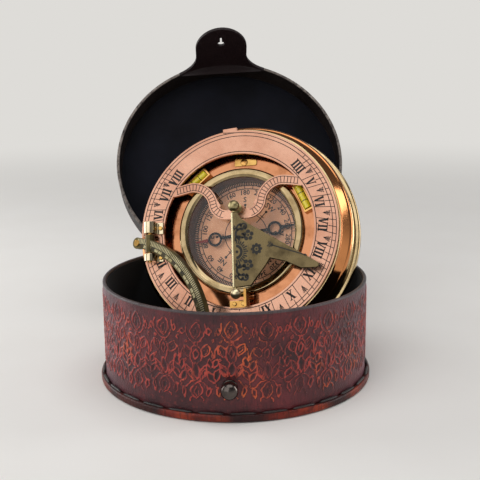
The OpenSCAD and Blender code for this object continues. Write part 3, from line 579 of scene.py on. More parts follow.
# Black suede: deep matte black that hardly catches the light
black_suede = suede("black_suede", "#060608", "#0e0e12")
lining_top = case_height - 1.2
outline = rounded(
    [(lining_inner + 0.55, welt_thick + 0.05), (lining_inner + 0.55, lining_top, 0.25),
     (lining_inner, lining_top, 0.25), (lining_inner, welt_thick + 0.05)]
)
turned_piece("wall_lining_suede", outline, 300, None, black_suede, "case", "black_suede", ("wall_lining",))

pad_radius = lining_inner - 0.25
pad_top = welt_thick + pad_thick
outline = capped(
    [(0.5, welt_thick), (pad_radius, welt_thick, 0.5), (pad_radius, pad_top - 1.9, 1.2),
     (pad_radius - 9, pad_top - 0.15, 4), (20, pad_top), (0.5, pad_top)], 10
)
rings = []
for (r0, z0), (r1, z1) in zip(outline, outline[1:]):
    more = max(1, int(abs(r1 - r0) / 3))
    rings += [(r0 + (r1 - r0) * k / more, z0 + (z1 - z0) * k / more) for k in range(more)]
points, faces = turned(rings + [outline[-1]], 180)
crowned = points[:, 2] > welt_thick + 2
points[:, 2] -= crowned * pad_hollow * (1 + wobble(points[:, 0] * 0.5, points[:, 1] * 0.5, 12))
pad = piece("floor_pad_suede", points, faces, black_suede, "case", "black_suede", ("floor_pad",))

# ---------------------------------------------------------------- closure stud
# A turned ball stud, blackened steel, screwed through the wall from a slotted head inside; the tab's keyhole
# buttons over it.

stud_ball = 8.9
stud_out = 9.4
stud_neck = 4.0
stud_collar = 4.0


def on_axes(tree, where, place):
    """The same spot in millimetres on the axes of place."""
    size = (MM, MM, MM)
    inputs = {"Vector": where, "Location": place.translation * MM, "Rotation": place.to_euler(), "Scale": size}
    return add(tree, "Mapping", inputs, vector_type="TEXTURE")


def metal(name, bright, deep, rough, rough_to, scratch=0.12, lathe=None, scale=260, metallic=1.0, band=None):
    """Metal of slightly uneven colour and polish, with fine scratches, that run round the axis of lathe if given.

    band is (axis or centre, from, to, colour, roughness) on the dial's axes: that part is painted another colour and
    roughness; in this script it carries painted highlights and a painted reflection."""
    made, tree, shader, where = blank(name)
    stain = add(tree, "TexNoise", {"Scale": scale * 0.35, "Detail": 5, "Roughness": 0.6, "Vector": where})
    stained = add(tree, "MapRange", {0: stain, 1: 0.45, 2: 0.72})
    hue = add(tree, "Mix", {0: stained, 6: bright, 7: deep}, data_type="RGBA")
    if lathe is None:
        lines = add(tree, "TexNoise", {"Scale": scale * 6, "Detail": 3, "Vector": where})
    else:
        # tool marks run round the lathe's axis, a few tenths of a millimetre apart
        local = on_axes(tree, where, lathe)
        flat = add(tree, "VectorMath", {0: local, 1: (1, 1, 0)}, operation="MULTIPLY")
        out = add(tree, "VectorMath", {0: flat}, operation="LENGTH")
        up = add(tree, "SeparateXYZ", {0: local}).outputs["Z"]
        lines = add(tree, "TexNoise", {"Scale": 3.5, "Detail": 3, "Vector": add(tree, "CombineXYZ", {0: out, 1: up})})
    polish = add(tree, "MapRange", {0: lines, 1: 0.3, 2: 0.7, 3: rough, 4: rough_to})
    if band:
        axis, low, high, colour, satin = band
        local = on_axes(tree, where, dial)
        ragged = add(tree, "TexNoise", {"Scale": 0.8, "Vector": local})
        if isinstance(axis, str):
            reach = add(tree, "SeparateXYZ", {0: local}).outputs[axis]
        else:
            reach = add(tree, "VectorMath", {0: local, 1: axis}, operation="DISTANCE")
        reach = add(tree, "Math", {0: ragged, 1: 0.4, 2: reach}, operation="MULTIPLY_ADD")
        off = add(tree, "Math", {0: reach, 1: (low + high) / 2 + 0.2}, operation="SUBTRACT")
        off = add(tree, "Math", {0: off}, operation="ABSOLUTE")
        half = (high - low) / 2
        inside = add(tree, "MapRange", {0: off, 1: half - 0.15, 2: half + 0.15, 3: 1.0, 4: 0.0})
        hue = add(tree, "Mix", {0: inside, 6: hue, 7: colour}, data_type="RGBA")
        polish = add(tree, "Mix", {0: inside, 2: polish, 3: satin})
    bump = add(tree, "Bump", {"Strength": scratch, "Distance": 0.00005, "Height": lines})
    feed(tree, shader, {"Base Color": hue, "Metallic": metallic, "Roughness": polish, "Normal": bump})
    return made


# Blackened steel: dark warm grey with a small hard highlight
gunmetal = metal("blackened_steel", "#5c5450", "#3a3432", 0.14, 0.26)
ball, stem = stud_ball / 2, stud_neck / 2 - 0.05
outline = [(0, -2.7), (stem, -2.7), (stem, 0)] + rounded(
    [(stem, 0), (stud_collar, 0, 0.2), (stud_collar - 0.3, 0.8, 0.4), (stud_neck / 2 + 0.5, 1.1)]
)
start = math.asin((stud_neck / 2 + 0.5) / ball)
outline += [(ball * math.sin(a), stud_out - ball - ball * math.cos(a)) for a in np.linspace(start, math.pi, 24)]
outline[-1] = (0, stud_out)
forwards = shift(0, -wall_outer, stud_height) @ spin(90, "X")
turned_piece("closure_stud_ball", outline, 64, forwards, gunmetal, "case", "gunmetal", ("closure_stud",))
nodes["stud_backing"].data.materials.clear()
nodes["stud_backing"].data.materials.append(gunmetal)

# ---------------------------------------------------------------- lid
# The lid is one leather disc with a skirt stitched round it; the closing tab grows out of the skirt's front and has a
# keyhole. Inside, suede covers the top. Drawn shut over the tray, then swung up and back about the hinge line.

lid_open = 125
lid_turn = 3.4
lid_edge = 40.9
lid_top_from = 55.3
lid_top_thick = 2.6
skirt_inner = 72.2
skirt_outer = 74.1
tab_long = 38
tab_wide = 34
tab_flare = 4
tab_fillet = 12
keyhole = 4.6
keyhole_down = 23
hinge_back = 74.5

turned_aside = spin(lid_turn)
to_hinge = shift(0, hinge_back, lid_edge)
lid_place = turned_aside @ to_hinge @ spin(-lid_open, "X") @ to_hinge.inverted()
lid_from_closed = lid_place @ turned_aside.inverted()


def within(p, loop):
    """Whether a 2-D point lies inside a closed outline."""
    inside = False
    for (ax, ay), (bx, by) in zip(loop, loop[1:] + loop[:1]):
        if (ay > p[1]) != (by > p[1]) and p[0] < (bx - ax) * (p[1] - ay) / (by - ay) + ax:
            inside = not inside
    return inside


def filled(outer, hole, spacing):
    """Points and triangles inside a 2-D outline, less its hole, with extra points inside at that spacing."""
    flat, edges = [], []
    for loop in (outer, hole):
        first = len(flat)
        flat += [Vector(p) for p in loop]
        edges += [(first + i, first + (i + 1) % len(loop)) for i in range(len(loop))]
    border = np.array(flat)
    low, high = border.min(0), border.max(0)
    for x in np.arange(low[0] + spacing / 2, high[0], spacing):
        for y in np.arange(low[1] + spacing / 2, high[1], spacing):
            clear = np.hypot(border[:, 0] - x, border[:, 1] - y).min() >= spacing * 0.45
            if clear and within((x, y), outer) and not within((x, y), hole):
                flat.append(Vector((x, y)))
    spots, _, triangles, *_ = delaunay_2d_cdt(flat, edges, [], 0, 1e-6)
    kept = []
    for t in triangles:
        c = sum((spots[i] for i in t), Vector((0, 0))) / 3
        if within(c, outer) and not within(c, hole):
            kept.append(tuple(t))
    return [tuple(p) for p in spots], kept


def between(flat, triangles, upper, lower):
    """A closed sheet: the flat triangles laid on two surfaces, with walls along every border edge."""
    n = len(flat)
    points = [upper(*p) for p in flat] + [lower(*p) for p in flat]
    used = dict.fromkeys(e for a, b, c in triangles for e in ((a, b), (b, c), (c, a)))
    faces = list(triangles) + [(c + n, b + n, a + n) for a, b, c in triangles]
    faces += [(b, a, a + n, b + n) for a, b in used if (b, a) not in used]
    return points, faces


# Waxed black hide: nearly black; the pale grey brown along the skirt's rounded rim is a worn edge and a painted
# highlight together
lid_hide = leather("dark_lid_hide", "#17110f", "#948a82", 0.42, "#6f6660", "#231c19")
outline = [(skirt_inner, lid_top_from), (skirt_inner, lid_edge, 0.8), (skirt_outer, lid_edge, 0.8)]
outline = rounded(outline + [(skirt_outer, lid_top_from)])
rub = np.zeros((300, len(outline)))
# the rows of the skirt's rounded rim are painted pale grey brown: worn edge and painted highlight together
rub[:, 3:12] = 0.8
turned_piece("lid_skirt_leather", outline, 300, lid_place, lid_hide, "lid", "dark_leather", ("lid_skirt",), rub=rub)

half_tab, r = tab_wide / 2, tab_fillet
shoulder = half_tab + r
rise, tip = np.linspace(0.02, math.pi / 2, 9), np.linspace(math.pi, 2 * math.pi, 29)
outer = [(shoulder, 1.2), (-shoulder, 1.2), (-shoulder, -0.02)]
outer += [(-shoulder + r * math.sin(a), -r + r * math.cos(a)) for a in rise]
outer += [(half_tab * math.cos(a), -(tab_long - half_tab) + half_tab * math.sin(a)) for a in tip]
outer += [(shoulder - r * math.sin(a), -r + r * math.cos(a)) for a in rise[::-1]] + [(shoulder, -0.02)]
hole = [(keyhole / 2 * math.cos(a), -keyhole_down + keyhole / 2 * math.sin(a)) for a in np.linspace(-1.3, 4.44, 21)]
hole += [(-0.6, -keyhole_down - keyhole / 2 - 4), (0.6, -keyhole_down - keyhole / 2 - 4)]
flare = math.tan(math.radians(tab_flare))


def tab_surface(radius):
    def at(x, y):
        # the tip leans out from the skirt, as if from being buttoned
        r = radius + max(0.0, -y) * flare
        return lid_from_closed @ Vector((x, -math.sqrt(r * r - x * x), lid_edge + y))

    return at


flat, triangles = filled(outer, hole, 2.2)
points, faces = between(flat, triangles, tab_surface(skirt_outer - 0.05), tab_surface(skirt_inner + 0.05))
piece("closing_tab", points, faces, lid_hide, "lid", "dark_leather", rub=0.22, soft=0.5)

# the top has a pressed line near its edge
low, high = lid_top_from, lid_top_from + lid_top_thick
outline = capped(
    [(0.5, low), (skirt_outer, low, 0.3), (skirt_outer, high, 1.4), (skirt_outer - 4, high, 0.2),
     (skirt_outer - 4.4, high - 0.35, 0.2), (skirt_outer - 5.2, high - 0.35, 0.2), (skirt_outer - 5.6, high, 0.2),
     (0.5, high)]
)
turned_piece("lid_top_leather", outline, 300, lid_place, oxblood, "lid", "dark_leather", ("lid_top",), rub=0)

# Navy black suede: a shade bluer than the tray's
navy_suede = suede("navy_black_suede", "#07080f", "#10121c")
edge = skirt_inner - 0.1
outline = [(0, low - 0.02), (edge, low - 0.02), (edge, low - 1.4, 0.9), (edge - 1.3, low - 0.6, 0.6), (0, low - 0.6)]
outline = rounded(outline)
turned_piece("lid_lining_suede", outline, 240, lid_place, navy_suede, "lid", "black_suede", ("lid_lining",))

# ---------------------------------------------------------------- hinge strap
# One broad strip of the oxblood hide joins tray and lid at the back. It is skived thin at the fold, glued, and sewn
# at both ends; opened, it lies over the hinge line with its finished side folded inwards.

strap_wide = 46
strap_from = 16.9
strap_to = 54.3
strap_lines = 41
fold_from, fold_to = 38.9, 42.2
on_tray = (wall_outer + 0.05, wall_outer + 1.85)
on_lid = (skirt_outer + 0.05, skirt_outer + 1.85)
strap_half = math.asin(strap_wide / 2 / skirt_outer)


def strap_line(around, side):
    """One line of the strap's skin, from its end on the tray over the fold to its end on the lid; side is 0 or 1."""
    x, y = math.cos(around), math.sin(around)
    tray = [Vector((on_tray[side] * x, on_tray[side] * y, z)) for z in np.linspace(strap_from, fold_from, 10)]
    lid = [Vector((on_lid[side] * x, on_lid[side] * y, z)) for z in np.linspace(fold_to, strap_to, 7)]
    lid = [lid_from_closed @ p for p in lid]
    reach = 1.05 * (lid[0] - tray[-1]).length + (3.0 if side else 0.0)
    go, come = Vector((0, 0, 1)) * reach, (lid[1] - lid[0]).normalized() * reach
    fold = []
    for t in np.linspace(0, 1, 12)[1:-1]:
        a, b, c, d = 2 * t**3 - 3 * t**2 + 1, t**3 - 2 * t**2 + t, 3 * t**2 - 2 * t**3, t**3 - t**2
        fold.append(a * tray[-1] + b * go + c * lid[0] + d * come)
    return [tuple(p) for p in tray + fold + lid]


points = []
middle = math.pi / 2 + math.radians(lid_turn)
for around in np.linspace(middle - strap_half, middle + strap_half, strap_lines):
    points += strap_line(around, 1) + strap_line(around, 0)[::-1]
rows = len(points) // strap_lines
faces = [tuple(f[::-1]) for f in ring_faces(strap_lines, rows) if max(f) - min(f) < 2 * rows]
faces += [tuple(range(rows)), tuple(range(len(points) - 1, len(points) - 1 - rows, -1))]
# The same hide, browner and drier
hinge_hide = leather("hinge_strap_hide", "#2e1418", "#8e3a28", 0.38, "#6e2c26", "#4c1f24", specular=0.4, flecked=0.3)
strap = piece("hinge_strap_leather", points, faces, hinge_hide, None, "dark_leather", rub=0)
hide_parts("hinge_strap_tray", "hinge_strap_lid")
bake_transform(strap)
stitch = thread_stitch(3.6, 0.8, 0.5)
stitch.transform(spin(90, "Y"))
for body, r, z, place in (
    ("case", on_tray[1], strap_from + 2.6, Matrix.Identity(4)), ("lid", on_lid[1], strap_to - 2.4, lid_from_closed)
):
    sewn(f"strap_seam_{body}", stitch.copy(), r - 0.1, 9, 77.4, 32, body, place @ shift(0, 0, z), False)

# ---------------------------------------------------------------- compass body
# The instrument is turned from brass castings, polished and lacquered, and leans in the tray. Its pieces are laid
# out on the dial's own axes: X along the ring's hinge, Y up the dial, Z out of its face, from the middle of its foot.

needle_height = 15.7
pocket_low, pocket_high = (-64, -10.37, 22.3), (-46.5, -0.11, 31)

face_out = Vector(joints["needle_spin"]["axis"]).normalized()
hinge_way = Vector(joints["hour_ring_hinge"]["axis"]).normalized()
dial_turn = Matrix((hinge_way, face_out.cross(hinge_way), face_out)).transposed().to_4x4()
foot_middle = Vector(joints["needle_spin"]["pos_m"]) / MM - needle_height * face_out
dial = shift(*foot_middle) @ dial_turn


def carved(points, faces, low, high, place):
    """Cuts a box, given on the axes of place, out of a closed mesh."""
    cutter = bmesh.new()
    bmesh.ops.create_cube(cutter, size=1)
    middle, size = (Vector(low) + Vector(high)) / 2, Vector(high) - Vector(low)
    cutter.transform(Matrix.Scale(MM, 4) @ place @ shift(*middle) @ Matrix.Diagonal(size).to_4x4())
    box = bpy.data.meshes.new("cutter")
    cutter.to_mesh(box)
    cutter.free()
    tool = linked("tool", box)
    mesh = small_mesh("blank", np.asarray(points) * MM, faces)
    made = modified(mesh, "BOOLEAN", object=tool, operation="DIFFERENCE", solver="EXACT")
    bpy.data.objects.remove(tool)
    return made


def worked(node, material, width=0.15, body="compass_base", slot_name="champagne_brass"):
    """A CAD node's shape as a finished metal piece: its flats joined, its edges broken, its curves smooth."""
    mesh = nodes[node].data.copy()
    shell = bmesh.new()
    shell.from_mesh(mesh)
    bmesh.ops.remove_doubles(shell, verts=shell.verts, dist=0.004 * MM)
    bmesh.ops.dissolve_limit(shell, angle_limit=math.radians(0.4), verts=shell.verts, edges=shell.edges)
    shell.to_mesh(mesh)
    shell.free()
    if width:
        mesh = softened(mesh, width, 35)
    return finished(mesh, node + "_worked", material, body, slot_name, (node,), flip=False)


# Lacquered brass: a warm pale mirror; the orange copper band on the concave part of the body's side is a painted
# reflection of the copper ring and the red leather
copper_reflection_band = ("Z", 16.6, 25.6, "#d08a56", 0.12)
brass = metal("lacquered_brass", "#cdb487", "#a8895a", 0.07, 0.15, 0.2, dial, band=copper_reflection_band)
outline = (
    [(58.7, 0)] + bend(62.3, 1.2, 1.2, -90, 0, 7) + bend(62.3, 3.2, 1.2, 0, 80, 7)
    + [(60.8, 4.6), (60.8, 5.6), (61.2, 5.9), (61.4, 6.2), (61.4, 9.1), (61.05, 9.35), (61.05, 9.6), (61.4, 9.85)]
    + [(61.4, 12.6)] + bend(59.2, 16.4, 2.4, -62, 70, 26) + bend(65.7, 25.7, 9.4, 200, 170, 22)
    + [(57.1, 27.3), (57.2, 27.5), (57.2, 28.1), (57.0, 28.3), (53.5, 28.3), (53.5, 20.7), (51.1, 20.7)]
    + [(51.1, 19.1), (58.7, 9.8)]
)
body = carved(*turned(outline, 360, dial), pocket_low, pocket_high, dial)
finished(body, "turned_body", brass, "compass_base", "champagne_brass", ("base_body",), sharp=28)

# Turned brass: left from the tool, satin and yellower
turned_brass = metal("turned_brass", "#d2ab70", "#a87c48", 0.18, 0.32, 0.3, dial)
worked("bottom_plate", turned_brass, 0.2)
worked("bottom_screws", gunmetal, 0.12, slot_name="antique_brass")
for i in (1, 2, 3):
    worked(f"levelling_screw_{i}", turned_brass, 0.1, f"levelling_screw_{i}")

# ---------------------------------------------------------------- deck, bowl and bezel
# A thin plate closes the body round the compass bowl; the bezel, spun from brass with a broad round crest, screws
# down over the glass.

# Copper-washed brass for the deck: a deep orange mirror; the bowl's brass is darkened to dark brown as painted shade
# for its wall under the bezel; the bezel is pale and polished
deck_brass = metal("deck_brass", "#bb7f5a", "#8a5433", 0.07, 0.14, 0.03, dial)
worked("deck_plate", deck_brass, 0.12)
worked("compass_bowl", metal("bowl_brass_darkened_as_painted_shade", "#8a5c38", "#4f311c", 0.3, 0.42, 0.08, dial), 0.12)
bezel_brass = metal("bezel_brass", "#ab9671", "#75603e", 0.06, 0.13, 0.15, dial)
outline = (
    [(32.9, 22.5), (36.0, 22.5)] + bend(34.3, 23.8, 1.7, 0, 112, 18)
    + [(32.6, 25.2), (31.9, 24.9), (31.3, 24.72), (31.0, 24.5), (32.3, 24.5), (32.3, 23.3), (32.9, 23.3)]
)
turned_piece("spun_bezel", outline, 320, dial, bezel_brass, "compass_base", "champagne_brass", ("bezel",))

# ---------------------------------------------------------------- dial card
# A copper-washed card, engraved and filled with black: a ring of fine degree ticks, a ring of ten-degree blocks,
# degree numbers and an eight-point rose.

card_height = 13.3
number_ring, letter_ring, rose_reach = 24.4, 20.2, 17.2
# Copper wash: pink and satin; the card's is duller, so that it stays readable under the glass
rose_copper = metal("rose_copper", "#c79880", "#ab765d", 0.20, 0.34, scale=90)
card_copper = metal("card_copper", "#dda27f", "#c3835f", 0.36, 0.5, 0.1, scale=90, metallic=0.6)
worked("dial_card", card_copper, 0, slot_name="rose_copper")
# Engraver's wax: matte black in the cut lines
engraving_wax = metal("black_engraving_wax", "#0d0807", "#1e100c", 0.5, 0.7, metallic=0.0)


def polar(r, degrees):
    return Vector((math.cos(math.radians(degrees)), math.sin(math.radians(degrees)))) * r


def bar(a, b, width):
    """A straight line as a flat quad from a to b."""
    a, b = Vector(a), Vector(b)
    side = (b - a).normalized().orthogonal() * width / 2
    return [tuple(p) for p in (a + side, a - side, b - side, b + side)]


def arc_bar(cx, cy, r, width, start, end, steps=6):
    """A curved line as flat polygons, at most 30 degrees each."""
    count = max(1, math.ceil(abs(end - start) / 30))
    turns = [start + (end - start) * k / count for k in range(count + 1)]
    return [
        bend(cx, cy, r + width / 2, a, b, steps) + bend(cx, cy, r - width / 2, b, a, steps)
        for a, b in zip(turns, turns[1:])
    ]


def dot(x, y, r, sides=10):
    return bend(x, y, r, 0, 360 - 360 / sides, sides)


def prisms(shapes, z, high=0.04, sink=0.05):
    """Flat shapes as thin solids that stand on a plane at height z."""
    points, faces = [], []
    for shape in shapes:
        n, first = len(shape), len(points)
        points += [(x, y, z + high) for x, y in shape] + [(x, y, z - sink) for x, y in shape]
        faces += [tuple(range(first, first + n)), tuple(range(first + 2 * n - 1, first + n - 1, -1))]
        faces += [(first + k, first + n + k, first + n + (k + 1) % n, first + (k + 1) % n) for k in range(n)]
    return points, faces


def of_mesh(mesh):
    """Points and faces of a small mesh."""
    return [tuple(v.co) for v in mesh.vertices], [tuple(f.vertices) for f in mesh.polygons]


def together(parts):
    points, faces = [], []
    for p, f in parts:
        faces += [tuple(i + len(points) for i in face) for face in f]
        points += list(p)
    return points, faces


def words(items, height, z, bold=0.05, high=0.04, sink=0.05):
    """Letters as thin solids; each item is (text, x, y, turn in degrees), turn 0 reads along +X."""
    cap_share = 0.69  # of the font's size that a capital is tall
    parts = []
    for text, x, y, turn in items:
        curve = bpy.data.curves.new("word", "FONT")
        curve.body, curve.size, curve.offset = text, height / cap_share, bold
        curve.align_x = curve.align_y = "CENTER"
        curve.resolution_u = 2
        curve.extrude = (high + sink) / 2
        mesh = baked(linked("word", curve))
        mesh.transform(shift(x, y, z + (high - sink) / 2) @ spin(turn))
        parts.append(of_mesh(mesh))
    return together(parts)


def engraved(name, parts, place, material, body, slot_name, **finish):
    """Puts solids, given on a piece's own axes, on that piece."""
    points, faces = together(parts)
    return piece(name, [place @ Vector(p) for p in points], faces, material, body, slot_name, **{"sharp": 30, **finish})


def on_card(r, compass_turn):
    """Place of a mark on the card; the turn runs clockwise from the dial's foot, as the card's own degrees do."""
    return polar(r, -90 - compass_turn)


marks = []
for name, width, r, count in (("degree_ticks", 0.62, 29.6, 180), ("ten_degree_lines", 0.4, 27.6, 36)):
    tick = small_mesh(name, *prisms([bar((-0.9, 0), (0.9, 0), width)], 0))
    marks.append(of_mesh(ring_of(name, tick, r, count, 0, 360, engraving_wax, shift(0, 0, card_height))))
lines = []
for r, width in ((30.6, 0.45), (28.6, 0.5), (26.6, 0.5), (12.3, 0.45)):
    lines += arc_bar(0, 0, r, width, 0, 360)
for k in range(8):
    a = on_card(1, 45 * k)
    side = a.orthogonal()
    lines += [bar(a * 9, a * rose_reach, 0.5), bar(a * 13.6 - side * 1.3, a * 13.6 + side * 1.3, 0.45)]
    lines.append(dot(*(a * rose_reach), 0.8))
numbers = [(str(d), *on_card(number_ring, d), 180 - d) for d in range(0, 360, 20)]
letters = [(t, *on_card(letter_ring, 45 * k), 180 - 45 * k) for k, t in enumerate("N NE E SE S SW W NW".split())]
marks += [prisms(lines, card_height), words(numbers, 2.7, card_height, 0.09), words(letters, 2.9, card_height, 0.09)]
engraved("card_engraving", marks, dial, engraving_wax, "compass_base", "gunmetal")

# ---------------------------------------------------------------- needle and glass
# A blued steel needle with two ring eyes and a red-lacquered end turns on a brass cap under a flat glass; the glass
# is clear soda-lime, and lets the lamps through to the card.

red_from = -21.4
needle_turn = 6  # the needle at rest, from the dial's X axis
glass_low, glass_high = 23.3, 24.5

# Blued steel: nearly black with a soft shine; its end is dipped in red lacquer
blued, tree, shader, where = blank("blued_steel_needle")
local = on_axes(tree, where, dial)
ragged = add(tree, "TexNoise", {"Scale": 2.0, "Vector": local})
along = add(tree, "SeparateXYZ", {0: local}).outputs["X"]
along = add(tree, "Math", {0: ragged, 1: 0.8, 2: along}, operation="MULTIPLY_ADD")
red_part = add(tree, "MapRange", {0: along, 1: red_from, 2: red_from + 0.2, 3: 1.0, 4: 0.0})
rub = add(tree, "TexNoise", {"Scale": 9.0, "Detail": 3, "Vector": local})
feed(tree, shader, {
    "Base Color": add(tree, "Mix", {0: red_part, 6: "#0a0a0e", 7: "#8c1c10"}, data_type="RGBA"),
    "Metallic": add(tree, "MapRange", {0: red_part, 3: 0.4, 4: 0.0}),
    "Roughness": add(tree, "MapRange", {0: rub, 3: 0.22, 4: 0.42}), "Specular IOR Level": 0.15,
})
worked("compass_needle", blued, 0.1, "needle", "blued_steel")
blades = []
for x0, w0, x1, w1 in ((21.2, 1.05, 29, 0.42), (5.0, 1.0, 14.0, 0.75)):
    blades += [[(s * x0, w0), (s * x1, w1), (s * x1, -w1), (s * x0, -w0)] for s in (1, -1)]
blades = prisms(blades, needle_height + 0.6, 0.04, 0.68)
engraved("needle_blades", [blades], dial @ spin(needle_turn), blued, "needle", "blued_steel")
worked("needle_cap", turned_brass, 0.1, "needle")
worked("pivot_post", turned_brass, 0)

# Soda-lime glass, faintly smeared: a thin mirror by Fresnel over a clear sheet, left out where lamps shine through
clear_glass, tree, shader, where = blank("soda_lime_glass")
smear = add(tree, "TexNoise", {"Scale": 90, "Detail": 3, "Vector": where})
smeared = add(tree, "MapRange", {0: smear, 1: 0.5, 2: 0.8, 3: 0.0, 4: 0.08})
feed(tree, shader, {"Base Color": "#ffffff", "Metallic": 1.0, "Roughness": smeared})
mirror = add(tree, "Fresnel", {"IOR": 1.3})
direct = add(tree, "LightPath").outputs["Is Shadow Ray"]
mirror = add(tree, "Math", {0: mirror, 1: direct}, operation="SUBTRACT", use_clamp=True)
choice = add(tree, "MixShader", {0: mirror, 1: add(tree, "BsdfTransparent", {"Color": "#fcfdfc"}), 2: shader})
feed(tree, tree.nodes["Material Output"], {"Surface": choice})
outline = capped([(0.5, glass_low), (32.1, glass_low, 0.2), (32.1, glass_high, 0.3), (0.5, glass_high)], 3)
turned_piece("compass_glass_disc", outline, 160, dial, clear_glass, "compass_base", "clear_glass", ("compass_glass",))

# ---------------------------------------------------------------- spirit levels
# Two glass vials of yellow spirit lie in brass mounts on the deck, with black rings round the glass that mark the
# middle. A screw on a small brass tongue is set into the top of the deck.

level_radius = 39.6
vial_radius = 2.0
vial_height = 25.0
deck_top = 22.45

# Dyed spirit in glass: bright yellow under a clear wet coat
spirit, tree, shader, where = blank("yellow_spirit_in_glass")
swirl = add(tree, "TexNoise", {"Scale": 220, "Detail": 2, "Vector": where})
feed(tree, shader, {
    "Base Color": add(tree, "Mix", {0: swirl, 6: "#ffee30", 7: "#f0d420"}, data_type="RGBA"),
    "Transmission Weight": 0.1, "Coat Weight": 0.6, "Coat Roughness": 0.03,
    "Roughness": add(tree, "MapRange", {0: swirl, 3: 0.05, 4: 0.15}),
})
# Unplated yellow brass: golden, a little matte, and brushed on the mounts
gold_brass = metal("gold_brass", "#d3a860", "#a0753c", 0.12, 0.24)
mount_brass = metal("mount_brass", "#dba862", "#a8743c", 0.2, 0.34, 0.2)
for side, angle_at in (("left", 129), ("right", 24)):
    worked(f"level_mount_{side}", mount_brass, 0.2)
    worked(f"level_vial_{side}", spirit, 0.35, slot_name="vial_glass")
    lying = dial @ spin(angle_at) @ shift(level_radius, 0, vial_height) @ spin(-90, "X")
    low, high = vial_radius - 0.1, vial_radius + 0.03
    bands = [turned([(low, z - 0.18), (high, z - 0.18), (high, z + 0.18), (low, z + 0.18)], 40) for z in (-2.4, 2.4)]
    engraved(f"level_lines_{side}", bands, lying, engraving_wax, "compass_base", "vial_glass", sharp=35)

outline = capped([(0.3, 0), (2.1, 0, 0.05), (2.1, 0.8, 0.35), (0.3, 1.25)], 4)
on_tongue = dial @ shift(*polar(level_radius, 86), deck_top) @ spin(-4) @ shift(0, 0, 0.25)
screw = carved(*turned(outline, 48, on_tongue), (-2.4, -0.2, 0.95), (2.4, 0.2, 2), on_tongue)
finished(screw, "deck_screw", mount_brass, "compass_base", "champagne_brass")
tongue = rounded([(-5.6, 0), (-5.6, -2.4, 0.9), (7.4, -1.7, 1.2), (7.4, 1.5, 1.2), (-5.6, 2.4, 0.9), (-5.6, -0.01)], 4)
tongue = prisms([tongue[:-1]], 0, 0.45, 0.3)
engraved("deck_screw_tongue", [tongue], on_tongue, gold_brass, "compass_base", "champagne_brass", sharp=35, soft=0.2)

# ---------------------------------------------------------------- hour ring
# A plate of copper-washed brass, sawn in one piece with its S-curved arms and hinged at the noon edge. Hour lines
# fan from the gnomon's foot; the engraving is filled with black wax. The maker's place at the top is left bare.

ring_top = 30.5
inner_line, tick_line, outer_line = 44.1, 53.0, 55.0
hairline = 0.38
fan = Vector((0, 11.7))
worked("hour_ring", rose_copper, 0.22, "hour_ring", "rose_copper")


def on_ring(r, hour):
    """Where the line of that hour, counted clockwise from noon at the foot, crosses the ring at radius r."""
    way = polar(1, -90 - 15 * hour)
    reach = -fan.dot(way) + math.sqrt(fan.dot(way) ** 2 - fan.length_squared + r * r)
    return fan + reach * way, way


def slab(a, b, c, d, top=1, foot=0):
    """A stroke of a letter, from a to b at its top and from d to c at its foot."""
    return [(a, top), (b, top), (c, foot), (d, foot)]


def serif(a, b, top=1, thick=0.08):
    return slab(a, b, b, a, top, top - thick)


letter_shapes = {
    "I": (0.42, [slab(-0.12, 0.12, 0.12, -0.12), serif(-0.21, 0.21, 0.1, 0.1), serif(-0.21, 0.21, 1, 0.1)]),
    "V": (0.84, [slab(-0.38, -0.1, 0.13, -0.07), slab(0.22, 0.36, 0.1, -0.03), serif(-0.44, -0.04), serif(0.12, 0.44)]),
    "X": (0.86, [slab(-0.38, -0.1, 0.38, 0.1), slab(0.24, 0.37, -0.22, -0.35), serif(-0.42, -0.04), serif(0.12, 0.44),
                 serif(-0.43, -0.12, 0.08), serif(0.06, 0.43, 0.08)]),
}


def numeral(text, centre, up, height, squeeze=0.86):
    """A serifed numeral as flat shapes, its top towards up."""
    across = Vector((up.y, -up.x)) * height * squeeze
    shapes, at = [], -sum(letter_shapes[c][0] for c in text) / 2
    for c in text:
        step, strokes = letter_shapes[c]
        for stroke in strokes:
            shapes.append([tuple(centre + across * (at + step / 2 + x) + up * (y - 0.5) * height) for x, y in stroke])
        at += step
    return shapes


def fleur(outer, way, long):
    """A small tree with its tip towards the dial's middle: a stem, three pairs of boughs and a pointed head."""
    side = Vector((way.y, -way.x))
    tip = outer - way * long
    head = [tuple(tip + way * u + side * v) for u, v in ((0, 0), (1.5, 0.6), (1.5, -0.6))]
    shapes = [bar(outer, tip + way * 0.5, 0.36), head]
    for back, reach in ((1.6, 0.95), (2.5, 1.25), (3.4, 1.5)):
        for s in (-1, 1):
            shapes.append(bar(tip + way * back, tip + way * (back + 0.75) + side * s * reach, 0.5))
    return shapes


